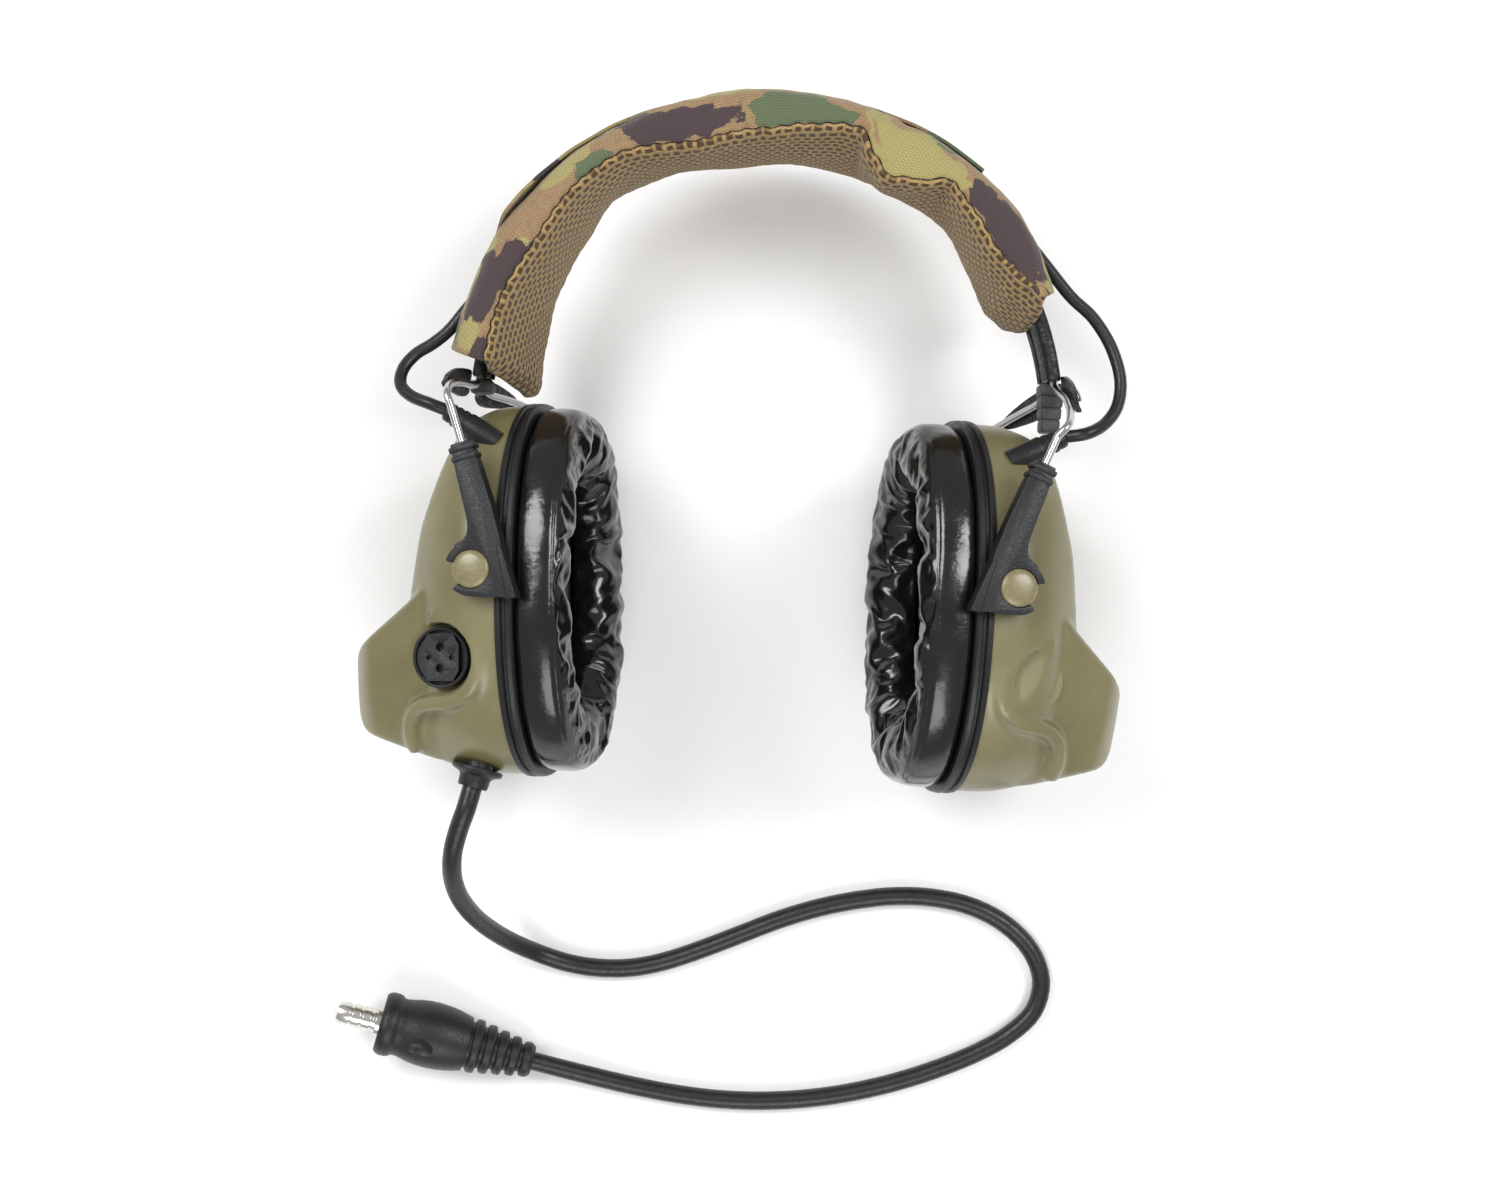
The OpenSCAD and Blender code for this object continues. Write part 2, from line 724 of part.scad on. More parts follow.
spring_wire_front();
spring_wire_rear();
head_strap();
band_end_left();
band_end_right();
strap_tabs_left();
strap_tabs_right();
cover_fabric();
cover_pad();
cover_flap();
link_run();
link_loop_left_upper();
link_loop_left_lower();
link_loop_right_upper();
link_loop_right_lower();
front_arm_left();
rear_arm_left();
front_arm_right();
rear_arm_right();
shell_left();
shell_right();
pivot_studs_left();
pivot_studs_right();
seal_ring_left();
seal_ring_right();
baffle_left();
baffle_right();
baffle_screws_left();
baffle_screws_right();
foam_liner_left();
foam_liner_right();
ear_cushion_left();
ear_cushion_right();
speaker_left();
speaker_right();
circuit_board_left();
circuit_board_right();
battery_cell_left();
battery_cell_right();
battery_cap_left();
battery_cap_right();
mic_cap_left();
mic_cap_right();
mic_capsule_left();
mic_capsule_right();
link_boot_left();
link_boot_right();
mic_socket();
socket_blank();
power_button();
volume_up_button();
volume_down_button();
lead_gland();
radio_lead();
plug_body();
plug_barrel();
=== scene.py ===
"""Communication headset: two olive ear cups on spring wires, a padded headband
in a camouflage cloth cover, and a lead with a moulded plug. It lies on its back
on a table, crown away from the cups. Each section models one piece, in the
order in which the headset goes together."""

import math

import bpy
from mathutils import Matrix, Vector, noise


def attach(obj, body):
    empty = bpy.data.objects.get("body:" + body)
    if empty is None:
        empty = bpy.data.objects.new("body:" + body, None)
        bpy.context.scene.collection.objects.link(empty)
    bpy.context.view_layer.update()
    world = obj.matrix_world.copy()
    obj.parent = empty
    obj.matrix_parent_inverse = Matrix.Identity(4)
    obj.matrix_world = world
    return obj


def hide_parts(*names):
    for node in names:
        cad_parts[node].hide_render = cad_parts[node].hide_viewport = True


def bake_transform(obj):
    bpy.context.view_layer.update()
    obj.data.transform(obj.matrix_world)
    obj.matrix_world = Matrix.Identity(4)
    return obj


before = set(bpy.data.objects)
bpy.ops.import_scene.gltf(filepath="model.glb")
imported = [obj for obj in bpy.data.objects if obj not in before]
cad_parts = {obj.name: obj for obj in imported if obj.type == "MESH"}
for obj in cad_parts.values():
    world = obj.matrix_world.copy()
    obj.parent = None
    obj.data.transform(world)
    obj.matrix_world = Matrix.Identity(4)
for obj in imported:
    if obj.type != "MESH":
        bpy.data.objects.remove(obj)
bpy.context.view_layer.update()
bpy.ops.object.select_all(action="DESELECT")

# ---------------------------------------------------------------------------
# The studio: a camera straight above the headset, a pale floor that the headset
# lies on, and three soft lamps. The headset's own plane is tipped by one degree
# from the floor, and the camera looks square at that plane.

MM = 0.001
LIE = math.radians(1)
HEADSET_AT = (3.47, -45, 46.91)
headset = Matrix.Translation([c * MM for c in HEADSET_AT]) @ Matrix.Rotation(-LIE, 4, "X")


def lay(point):
    """A point in millimetres of the headset's own plane, on the table."""
    return headset @ (Vector(point) * MM)


bpy.ops.object.camera_add(location=lay((0, 0, 650)), rotation=(-LIE, 0, 0))
camera = bpy.context.object
camera.data.lens = 54.43
bpy.context.scene.camera = camera

bpy.ops.mesh.primitive_plane_add(size=6, location=(0, 0, -0.0002))
floor = bpy.context.object
floor.name = "floor"
paper = bpy.data.materials.new("pale_paper")
paper.use_nodes = True
paper_surface = paper.node_tree.nodes["Principled BSDF"].inputs
paper_surface["Base Color"].default_value = (0.9, 0.9, 0.9, 1)
paper_surface["Roughness"].default_value = 0.7
floor.data.materials.append(paper)

for spot, aim, size, power in (((-0.75, 0.55, 1.25), (-0.02, 0, 0.04), 0.7, 15),
                               ((0.85, 0.35, 1.15), (0.02, 0, 0.04), 0.55, 10),
                               ((0.05, -1.1, 1.2), (0, -0.06, 0.03), 0.9, 11)):
    bpy.ops.object.light_add(type="AREA", location=spot)
    lamp = bpy.context.object
    lamp.data.size = size
    lamp.data.energy = power
    lamp.rotation_euler = (Vector(aim) - Vector(spot)).to_track_quat("-Z", "Y").to_euler()
world = bpy.data.worlds.new("studio")
world.use_nodes = True
sky = world.node_tree.nodes["Background"].inputs
sky["Color"].default_value = (1, 1, 1, 1)
sky["Strength"].default_value = 0.42
bpy.context.scene.world = world
bpy.context.scene.view_settings.view_transform = "Standard"

# ---------------------------------------------------------------------------
# The lead: a round rubber jacket of 5.6 mm over its cores, moulded into a gland
# at the bottom of the left cup. It drops to the table in front of the cups and
# lies there in one open loop, down to the tail of its plug.

PIVOT = ((-66.5, 8.3), (63.8, 3.2))
TOE = math.radians(10.5)
CUP_TILT = (0, 3)
SIDES = ("left", "right")


def hand(side):
    """From the frame of one side's pivot, in millimetres, to the table. Its
    local X runs from the ear pad outwards to minus, Y up and Z to the front."""
    x, y = PIVOT[side]
    flip = Matrix.Diagonal((-1 if side else 1, 1, 1, 1))
    return (headset @ Matrix.Scale(MM, 4) @ flip @ Matrix.Translation((-abs(x), y, 0))
            @ Matrix.Rotation(-TOE, 4, "Y"))


def cup(side, lean=0):
    return hand(side) @ Matrix.Rotation(math.radians(CUP_TILT[side] + lean), 4, "Z")


def shader(name, base, rough, **sockets):
    """New material with its uniform values set on the shader itself."""
    made = bpy.data.materials.new(name)
    made.use_nodes = True
    node = made.node_tree.nodes["Principled BSDF"]
    node.inputs["Base Color"].default_value = (*base, 1)
    node.inputs["Roughness"].default_value = rough
    for socket, value in sockets.items():
        node.inputs[socket.replace("_", " ")].default_value = value
    return made


def add(material, kind, **settings):
    """Add a node to a material; settings are its properties or input sockets."""
    node = material.node_tree.nodes.new("ShaderNode" + kind)
    for key, value in settings.items():
        if hasattr(node, key) and key not in node.inputs:
            setattr(node, key, value)
        else:
            node.inputs[key.replace("_", " ")].default_value = value
    return node


def link(material, out, into, out_name=0, in_name=0):
    material.node_tree.links.new(out.outputs[out_name], into.inputs[in_name])


def ramp(material, source, stops, out_name=0):
    """Colour ramp fed by a node; stops are (position, grey or colour)."""
    node = add(material, "ValToRGB")
    link(material, source, node, out_name)
    band = node.color_ramp.elements
    while len(band) < len(stops):
        band.new(1)
    for element, (position, colour) in zip(band, stops):
        element.position = position
        element.color = (colour,) * 3 + (1,) if isinstance(colour, (int, float)) else (*colour, 1)
    return node


def feed(material, node, socket, out=0):
    """Link a node to a socket of the material's shader."""
    link(material, node, material.node_tree.nodes["Principled BSDF"], out, socket)


def emboss(material, node, strength, distance, out=0):
    """Let a node's value raise the surface as bump."""
    bump = add(material, "Bump", Strength=strength, Distance=distance)
    link(material, node, bump, out, "Height")
    feed(material, bump, "Normal")


def grain(material, scale, depth, distance, detail=4, rough=0.55):
    """Fine moulded grain as bump, on Object coordinates."""
    cloud = add(material, "TexNoise", Scale=scale, Detail=detail, Roughness=rough)
    link(material, add(material, "TexCoord"), cloud, "Object", "Vector")
    emboss(material, cloud, depth, distance)
    return cloud


def mottle(material, cloud, dark, light, socket="Base Color"):
    """Let a socket run between two values with a noise."""
    feed(material, ramp(material, cloud, ((0.35, dark), (0.65, light))), socket)


def moulded(name, base, rough, texture, shine, **sockets):
    """Material with a grain (scale, depth, distance) and a roughness that varies with it."""
    made = shader(name, base, rough, **sockets)
    mottle(made, grain(made, *texture), *shine, "Roughness")
    return made


def smooth_line(points, steps):
    """Points of a Catmull-Rom line through the given ones."""
    line = []
    for i in range(len(points) - 1):
        a, b = Vector(points[max(i - 1, 0)]), Vector(points[i])
        c, d = Vector(points[i + 1]), Vector(points[min(i + 2, len(points) - 1)])
        for k in range(steps):
            t = k / steps
            line.append(0.5 * (2 * b + (c - a) * t + (2 * a - 5 * b + 4 * c - d) * t * t
                               + (3 * b - a - 3 * c + d) * t ** 3))
    return line + [Vector(points[-1])]


def hose(name, points, radius, sides=12, caps=True):
    """Round hose along points, as a curve with its bevel."""
    data = bpy.data.curves.new(name, "CURVE")
    data.dimensions = "3D"
    data.bevel_depth = radius
    data.bevel_resolution = sides // 4
    data.use_fill_caps = caps
    spline = data.splines.new("POLY")
    spline.points.add(len(points) - 1)
    for spot, point in zip(spline.points, points):
        spot.co = (*point, 1)
    piece = bpy.data.objects.new(name, data)
    bpy.context.collection.objects.link(piece)
    return piece


GLAND_AT = Vector((-7.3, -55.2, 14.6))
GLAND_TURN, GLAND_RISE = math.radians(-14), math.radians(10)
gland_way = Matrix.Rotation(GLAND_TURN, 3, "Z") @ Vector((0, -math.cos(GLAND_RISE), math.sin(GLAND_RISE)))
lead_route = [
    (-81.7, -63.8, 61.3), (-83.7, -70.3, 58.7), (-84.7, -76.9, 53.8), (-84.5, -83.1, 46.8),
    (-83.1, -88.9, 38.3), (-80.6, -94.4, 29), (-76.9, -99.6, 19.6), (-71.8, -104.4, 11.4),
    (-65, -108.6, 5.4), (-56.5, -111.9, 3.2), (-47, -113.6, 2.85), (-36.5, -113.6, 2.85),
    (-26, -111.6, 2.85), (-14.5, -107.8, 2.85), (-3, -103.4, 2.85), (9, -98.8, 2.85),
    (21, -95.2, 2.85), (33, -92.8, 2.85), (45, -91.6, 2.85), (57, -92.2, 2.85),
    (68.5, -95, 2.85), (78.5, -100.4, 2.85), (86, -108.2, 2.85), (89.4, -117.6, 2.85),
    (87, -127, 2.85), (79.8, -134, 2.85), (70.5, -139.4, 2.85), (58.5, -144.4, 2.85),
    (45.5, -148.6, 2.85), (32, -151.8, 2.85), (18.5, -153.8, 2.85), (5, -154.6, 2.85),
    (-8.5, -154.2, 2.85), (-22, -152.6, 2.85), (-36, -149.9, 3), (-51, -146, 4.4)]
PLUG_TAIL, PLUG_NOSE = Vector((-66.5, -141.5, 6.5)), Vector((-112, -128.5, 11.7))


def on_table(point):
    return (Vector(point) + Vector((HEADSET_AT[0], HEADSET_AT[1], 0))) * MM


lead_exit = cup(0) @ (GLAND_AT + 6 * gland_way)
lead_line = smooth_line([lead_exit, cup(0) @ (GLAND_AT + 12 * gland_way)]
                        + [on_table(p) for p in lead_route + [PLUG_TAIL]], 4)
lead = hose("radio_lead_jacket", lead_line, 2.8 * MM, 24)

jacket = moulded("cable_jacket", (0.009, 0.010, 0.012), 0.36, (900, 0.25, 0.0003), (0.3, 0.46),
                 Specular_IOR_Level=0.4, Coat_Weight=0.05, Coat_Roughness=0.3)
lead.data.materials.append(jacket)
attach(lead, "cup_left")
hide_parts("radio_lead")

# ---------------------------------------------------------------------------
# The plug: a black rubber body moulded over the lead, with a ribbed tail, two
# finger dimples and a collar at its front. Its barrel is a nickel-plated brass
# pin with three rings and a rounded tip, moulded in with it.


def clear():
    bpy.ops.object.select_all(action="DESELECT")


def choose(piece):
    clear()
    piece.select_set(True)
    bpy.context.view_layer.objects.active = piece


def settle(piece, place):
    """Put a piece that was modelled in its own frame on the table."""
    piece.data.transform(place)
    choose(piece)
    bpy.ops.object.mode_set(mode="EDIT")
    bpy.ops.mesh.select_all(action="SELECT")
    bpy.ops.mesh.remove_doubles(threshold=1e-6)
    bpy.ops.mesh.normals_make_consistent(inside=False)
    bpy.ops.object.mode_set(mode="OBJECT")
    return piece


def apply(piece, kind, **settings):
    """Give a piece a modifier and apply it."""
    choose(piece)
    modifier = piece.modifiers.new(kind, kind)
    for key, value in settings.items():
        setattr(modifier, key, value)
    bpy.ops.object.modifier_apply(modifier=modifier.name)
    return piece


def finish(piece, material, body, replaces=(), angle=40):
    """Finish, body and CAD nodes of a piece."""
    choose(piece)
    bpy.ops.object.shade_smooth_by_angle(angle=math.radians(angle))
    piece.data.materials.clear()
    piece.data.materials.append(material)
    if body:
        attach(piece, body)
    if replaces:
        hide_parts(*replaces)
    return piece


def close_up():
    """Leave edit mode with every face turned outwards."""
    bpy.ops.mesh.select_all(action="SELECT")
    bpy.ops.mesh.normals_make_consistent(inside=False)
    bpy.ops.object.mode_set(mode="OBJECT")


def on_cup(piece, side, material, node, angle, lean=0):
    """Put a piece on its ear cup, in the place of that side's CAD node."""
    return finish(settle(piece, cup(side, lean)), material, "cup_" + SIDES[side],
                  [node + "_" + SIDES[side]], angle)


def turned(name, profile, steps=64):
    """Turned form about Z: profile is (radius, height) from end to end."""
    clear()
    bpy.ops.mesh.primitive_circle_add(vertices=steps, radius=1)
    piece = bpy.context.object
    piece.name = name
    bpy.ops.object.mode_set(mode="EDIT")
    bpy.ops.mesh.select_all(action="SELECT")
    radius, height = profile[0]
    bpy.ops.transform.resize(value=(radius, radius, 1))
    bpy.ops.transform.translate(value=(0, 0, height))
    bpy.ops.mesh.edge_face_add()
    for r, z in profile[1:]:
        bpy.ops.mesh.extrude_region_move(TRANSFORM_OT_translate={"value": (0, 0, z - height)})
        bpy.ops.transform.resize(value=(r / radius, r / radius, 1))
        radius, height = r, z
    close_up()
    return piece


def cut(piece, tool, operation="DIFFERENCE", solver="EXACT"):
    """Cut a piece with a tool, which goes away."""
    apply(piece, "BOOLEAN", operation=operation, object=tool, solver=solver)
    bpy.data.objects.remove(tool)
    return piece


plug_way = PLUG_NOSE - PLUG_TAIL
plug_length = plug_way.length
plug_place = (Matrix.Translation(on_table(PLUG_TAIL)) @ Matrix.Scale(MM, 4)
              @ plug_way.to_track_quat("Z", "Y").to_matrix().to_4x4())
ribs = [(0.5, 0.05), (4.5, 0.05)]
for i in range(5):
    r, z = 5 + 0.7 * i, 0.6 + 4 * i
    ribs += [(r, z + 0.2), (r + 0.35, z + 0.7), (r + 0.35, z + 2.2), (r, z + 2.7),
             (r - 0.75, z + 2.9), (r - 0.75, z + 3.8)]
plug = turned("plug_grip", ribs + [
    (8.2, 20.6), (8.7, 22.5), (9.3, 25), (9.75, 28), (9.95, 31), (9.9, 34), (9.5, 37),
    (8.9, 39.6), (8.6, 41.2), (8.7, 42.2), (9.3, 43), (9.6, 44), (9.6, 45.8), (9.2, 46.9),
    (8.5, plug_length), (5, plug_length), (0.3, plug_length - 0.1)], 96)
bpy.ops.mesh.primitive_uv_sphere_add(segments=48, ring_count=24, location=(3.2, 13.4, 35))
dimple = bpy.context.object
dimple.scale = (4.6, 5.6, 6.6)
bpy.ops.object.transform_apply(scale=True)
cut(plug, dimple)
for x, z in ((2, 33), (4.4, 33), (3.2, 35.2), (2, 37.4), (4.4, 37.4)):
    bpy.ops.mesh.primitive_uv_sphere_add(segments=16, ring_count=8, radius=0.5, location=(x, 7.75, z))
    cut(plug, bpy.context.object, "UNION")
rubber = moulded("moulded_rubber", (0.009, 0.0095, 0.011), 0.42, (1400, 0.35, 0.0003), (0.34, 0.52),
                 Specular_IOR_Level=0.4)
finish(settle(plug, plug_place), rubber, "cup_left", ["plug_body"], 32)

rings = [(0.4, plug_length), (4.65, plug_length + 0.02), (4.65, plug_length + 1.3),
         (3.5, plug_length + 1.5)]
for i in range(3):
    z = plug_length + 2.2 + 3.2 * i
    rings += [(3.5, z), (3.1, z + 0.1), (3.1, z + 0.9), (3.55, z + 1)]
rings += [(3.5, plug_length + 12), (3.0, plug_length + 13.2), (1.8, plug_length + 13.9),
          (0.3, plug_length + 14)]
barrel = turned("plug_pin", rings)
nickel = moulded("nickel_plate", (0.72, 0.70, 0.66), 0.2, (60, 0.01, 0.0001), (0.2, 0.26), Metallic=1)
finish(settle(barrel, plug_place), nickel, "cup_left", ["plug_barrel"], 30)

# ---------------------------------------------------------------------------
# The ear cup shells: one injection-moulded olive shell a side, 2 mm thick, with
# a snout at its lower outer corner for the battery and the microphone. The right
# one leans outwards more at its foot. A raised S-shaped lip runs round the
# recess in its front face and out towards the snout.

OVAL_Y, CUP_HEIGHT, CUP_DEPTH, MOUTH = -5.5, 105, 78, 4.6
LEAN = (0, 5)
POCKET, POCKET_R, POCKET_FLOOR = (-12, -24), 8.6, 31


def oval(height, depth, count=96):
    """Full oval as (y, z) corners about its own centre."""
    corners = []
    for i in range(count):
        a = 2 * math.pi * i / count
        corners.append((height / 2 * math.copysign(abs(math.cos(a)) ** 0.87, math.cos(a)),
                        depth / 2 * math.copysign(abs(math.sin(a)) ** 0.87, math.sin(a))))
    return corners


def slab(name, outline, low, high):
    """Flat outline in XY, pulled up from low to high along Z."""
    clear()
    bpy.ops.mesh.primitive_circle_add(vertices=len(outline), fill_type="NGON")
    piece = bpy.context.object
    piece.name = name
    for vertex, (x, y) in zip(piece.data.vertices, outline):
        vertex.co = (x, y, low)
    bpy.ops.object.mode_set(mode="EDIT")
    bpy.ops.mesh.select_all(action="SELECT")
    bpy.ops.mesh.extrude_region_move(TRANSFORM_OT_translate={"value": (0, 0, high - low)})
    close_up()
    return piece


def oval_block(height, depth, low, high):
    """Oval block along X, from low to high."""
    block = slab("block", [(z, y) for y, z in oval(height, depth)], low, high)
    block.data.transform(Matrix.Translation((0, OVAL_Y, 0)) @ Matrix.Rotation(math.radians(90), 4, "Y"))
    return block


def dome(body):
    """The body of a shell gets shallower towards its outboard side."""
    for vertex in body.data.vertices:
        out = max(0, -2 - vertex.co.x) / 27
        vertex.co.z *= 1 - 0.55 * out ** 1.8


def taper(snout):
    """A snout stays deep behind, round the battery cap, and gets shallow in front."""
    for vertex in snout.data.vertices:
        out = max(0, -20 - vertex.co.x)
        if vertex.co.z > 0:
            vertex.co.z *= 1 - 0.0125 * out - 0.0035 * max(0, out - 15.5) ** 2
        else:
            vertex.co.z *= 1 - 0.005 * out - 0.004 * max(0, out - 18.5) ** 2


def drill(x, y, z, radius, depth, axis="Z"):
    """Round tool whose mouth is at x, y, z; it reaches depth along axis."""
    clear()
    bpy.ops.mesh.primitive_cylinder_add(vertices=64, radius=radius, depth=abs(depth))
    tool = bpy.context.object
    if axis == "X":
        tool.data.transform(Matrix.Rotation(math.radians(90), 4, "Y"))
    tool.data.transform(Matrix.Translation((x + (depth / 2 if axis == "X" else 0), y,
                                            z + (depth / 2 if axis == "Z" else 0))))
    return tool


olive = moulded("olive_plastic", (0.165, 0.148, 0.068), 0.36, (1600, 0.12, 0.0002), (0.31, 0.43),
                Coat_Weight=0.25, Coat_Roughness=0.22, Specular_IOR_Level=0.5)
stain = add(olive, "TexNoise", Scale=26, Detail=5, Roughness=0.62)
link(olive, add(olive, "TexCoord"), stain, "Object", "Vector")
mottle(olive, stain, (0.140, 0.124, 0.053), (0.188, 0.170, 0.082))

for side in (0, 1):
    lean = Matrix.Rotation(math.radians(LEAN[side]), 3, "Z")
    foot = [(lean @ Vector((x, y, 0))).to_2d() for x, y in
            ((-7, 43), (-11.5, 36), (-16.3, 22), (-20.1, 12), (-24.6, -6.6), (-27, -22),
             (-26, -38), (-18.3, -53.6), (-7, -58.6))]
    shell = slab("shell", [(MOUTH + 4, 48.5), (-2, 47.5)] + [tuple(p) for p in foot]
                 + [(MOUTH + 4, -59)], -40, 40)
    cut(shell, oval_block(CUP_HEIGHT - 0.3, CUP_DEPTH - 0.3, -60, 20), "INTERSECT")
    apply(shell, "REMESH", mode="VOXEL", voxel_size=1)
    dome(shell)
    apply(shell, "SMOOTH", factor=0.5, iterations=12)
    snout = slab("snout", [(-8, -3), (-18, -4.5), (-26.4, -11), (-41.8, -22.4), (-42.9, -24.5),
                           (-43.3, -40), (-42.6, -43.5), (-40.2, -46), (-18.3, -53.8), (-8, -52)],
                 -31, 31)
    cut(snout, oval_block(CUP_HEIGHT - 0.3, 62, -60, 20), "INTERSECT")
    apply(snout, "REMESH", mode="VOXEL", voxel_size=1)
    taper(snout)
    apply(snout, "SMOOTH", factor=0.5, iterations=5)
    lip = hose("lip", [Vector((POCKET[0] + x, POCKET[1] + y, z)) for x, y, z in smooth_line(
        [(-3.4, 10, 32), (3.4, 10, 34.4), (9.4, 5.4, 35.4), (11, -1.6, 35.4), (8.8, -8.4, 34.4),
         (3, -11.8, 32.8), (-3.4, -12.6, 30.6), (-8.4, -14, 28.2), (-11.4, -17.6, 25.6),
         (-12.4, -22.5, 22), (-12.4, -26, 18)], 4)], 2.4, 16)
    choose(lip)
    bpy.ops.object.convert(target="MESH")
    for part in (snout, lip):
        part.data.transform(lean.to_4x4())
    clear()
    for part in (snout, lip, shell):
        part.select_set(True)
    bpy.context.view_layer.objects.active = shell
    bpy.ops.object.join()
    pocket = drill(*POCKET, 50, POCKET_R + 0.9, POCKET_FLOOR - 50 - 0.4)
    if side:
        pocket.data.transform(Matrix.Translation((-2.5, 0, 3.9)))
    pocket.data.transform(lean.to_4x4())
    apply(shell, "REMESH", mode="VOXEL", voxel_size=0.8)
    cut(shell, pocket)
    apply(shell, "REMESH", mode="VOXEL", voxel_size=0.8)
    apply(shell, "SMOOTH", factor=0.5, iterations=9)
    bpy.ops.object.mode_set(mode="EDIT")
    bpy.ops.mesh.select_all(action="SELECT")
    bpy.ops.mesh.bisect(plane_co=(MOUTH, 0, 0), plane_no=(1, 0, 0), clear_outer=True, use_fill=False)
    bpy.ops.object.mode_set(mode="OBJECT")
    apply(shell, "SOLIDIFY", thickness=1.8, offset=-1)
    holes = [drill(-30, -33, -40, 7.9, 20), drill(-50, -36.3, 0, 4.1, 16, "X")]
    if side == 0:
        holes += [drill(-12, y, -48, 3.35, 22) for y in (-14, -24, -34)]
    for hole in holes:
        hole.data.transform(lean.to_4x4())
        cut(shell, hole, solver="MANIFOLD")
    shell.name = "shell_skin_" + SIDES[side]
    on_cup(shell, side, olive, "shell", 50)

# ---------------------------------------------------------------------------
# The seal rings: a grooved rubber hoop in each shell's mouth, which the cushion's
# back plate snaps into. It is pressed over the shell's edge.


def hoop(name, steps, count=128):
    """Closed hoop round an ear cup's oval; steps are its section's (x, height, depth)."""
    clear()
    bpy.ops.mesh.primitive_circle_add(vertices=count)
    piece = bpy.context.object
    piece.name = name
    x, height, depth = steps[0]
    for vertex, (y, z) in zip(piece.data.vertices, oval(height, depth, count)):
        vertex.co = (x, OVAL_Y + y, z)
    bpy.ops.object.mode_set(mode="EDIT")
    bpy.ops.mesh.select_all(action="SELECT")
    for next_x, next_height, next_depth in steps[1:]:
        bpy.ops.mesh.extrude_region_move(TRANSFORM_OT_translate={"value": (next_x - x, 0, 0)})
        bpy.ops.transform.resize(value=(1, next_height / height, next_depth / depth),
                                 center_override=(0, OVAL_Y, 0))
        x, height, depth = next_x, next_height, next_depth
    bpy.ops.mesh.select_all(action="SELECT")
    bpy.ops.mesh.remove_doubles(threshold=0.001)
    close_up()
    return piece


def closed(steps):
    return steps + steps[:1]


seal_rubber = moulded("seal_rubber", (0.008, 0.008, 0.009), 0.4, (1200, 0.25, 0.0003), (0.33, 0.48),
                      Specular_IOR_Level=0.4)
for side in (0, 1):
    ring = hoop("seal_ring_hoop_" + SIDES[side], closed([
        (4.7, 95, 68), (4.7, 105, 78), (5.0, 106, 79), (6.2, 106.3, 79.3), (6.5, 105.8, 78.8),
        (6.7, 104.4, 77.4), (7.5, 104.4, 77.4), (7.7, 105.8, 78.8), (8.0, 106.3, 79.3),
        (9.1, 106, 79), (9.6, 104.8, 77.8), (9.6, 95, 68)]))
    on_cup(ring, side, seal_rubber, "seal_ring", 38)

# ---------------------------------------------------------------------------
# The ear cushions: a foam ring in a welded black vinyl cover, cut larger than the
# foam, so that its face and its inner wall fall into creases. The side wall is a
# smooth band, which meets the face in a welded seam.


def crumple(cushion, held, growth, cap, seed):
    """Let a cover that was cut too large fall into creases; held gives how firmly
    the foam holds a vertex, and no vertex moves further than cap millimetres."""
    rest = [vertex.co.copy() for vertex in cushion.data.vertices]
    grip = cushion.vertex_groups.new(name="held")
    for vertex in cushion.data.vertices:
        grip.add([vertex.index], held(vertex.co), "REPLACE")
        loose = 1 - held(vertex.co)
        spot = vertex.co * 0.09 + Vector((seed * 7.1, 3.3, 1.7))
        ridge = 0.6 - abs(noise.noise(Vector((spot.x * 1.2, spot.y * 1.1, spot.z * 1.1)))) * 3
        ridge += (0.4 - abs(noise.noise(spot * 2.3)) * 2) * 0.5
        vertex.co += vertex.normal * ridge * 0.8 * loose
    cushion.data.transform(Matrix.Scale(0.01, 4))
    choose(cushion)
    modifier = cushion.modifiers.new("crumple", "CLOTH")
    cloth = modifier.settings
    cloth.quality = 6
    cloth.mass = 0.3
    cloth.tension_stiffness = cloth.compression_stiffness = 12
    cloth.shear_stiffness = 4
    cloth.bending_stiffness = 0.05
    cloth.shrink_min = cloth.shrink_max = -growth
    cloth.use_pressure = True
    cloth.uniform_pressure_force = 0.6
    cloth.vertex_group_mass = "held"
    cloth.effector_weights.gravity = 0
    modifier.point_cache.frame_end = 24
    for step in range(1, 25):
        bpy.context.scene.frame_set(step)
    bpy.ops.object.modifier_apply(modifier=modifier.name)
    bpy.context.scene.frame_set(1)
    cushion.data.transform(Matrix.Scale(100, 4))
    for vertex, start in zip(cushion.data.vertices, rest):
        move = vertex.co - start
        if move.length > cap:
            vertex.co = start + move * (cap / move.length)
    return cushion


def foam_hold(co):
    """The foam and the back plate hold the side wall; the face and the hole are loose."""
    across = Vector((co.y - OVAL_Y, co.z / 76 * 103)).length
    if across > 49.6 or co.x < 11:
        return 1
    if co.x > 19:
        return max(0, min(1, (across - 47.5) / 2.1)) * 0.9
    return max(0, min(1, (13 - co.x) / 2))


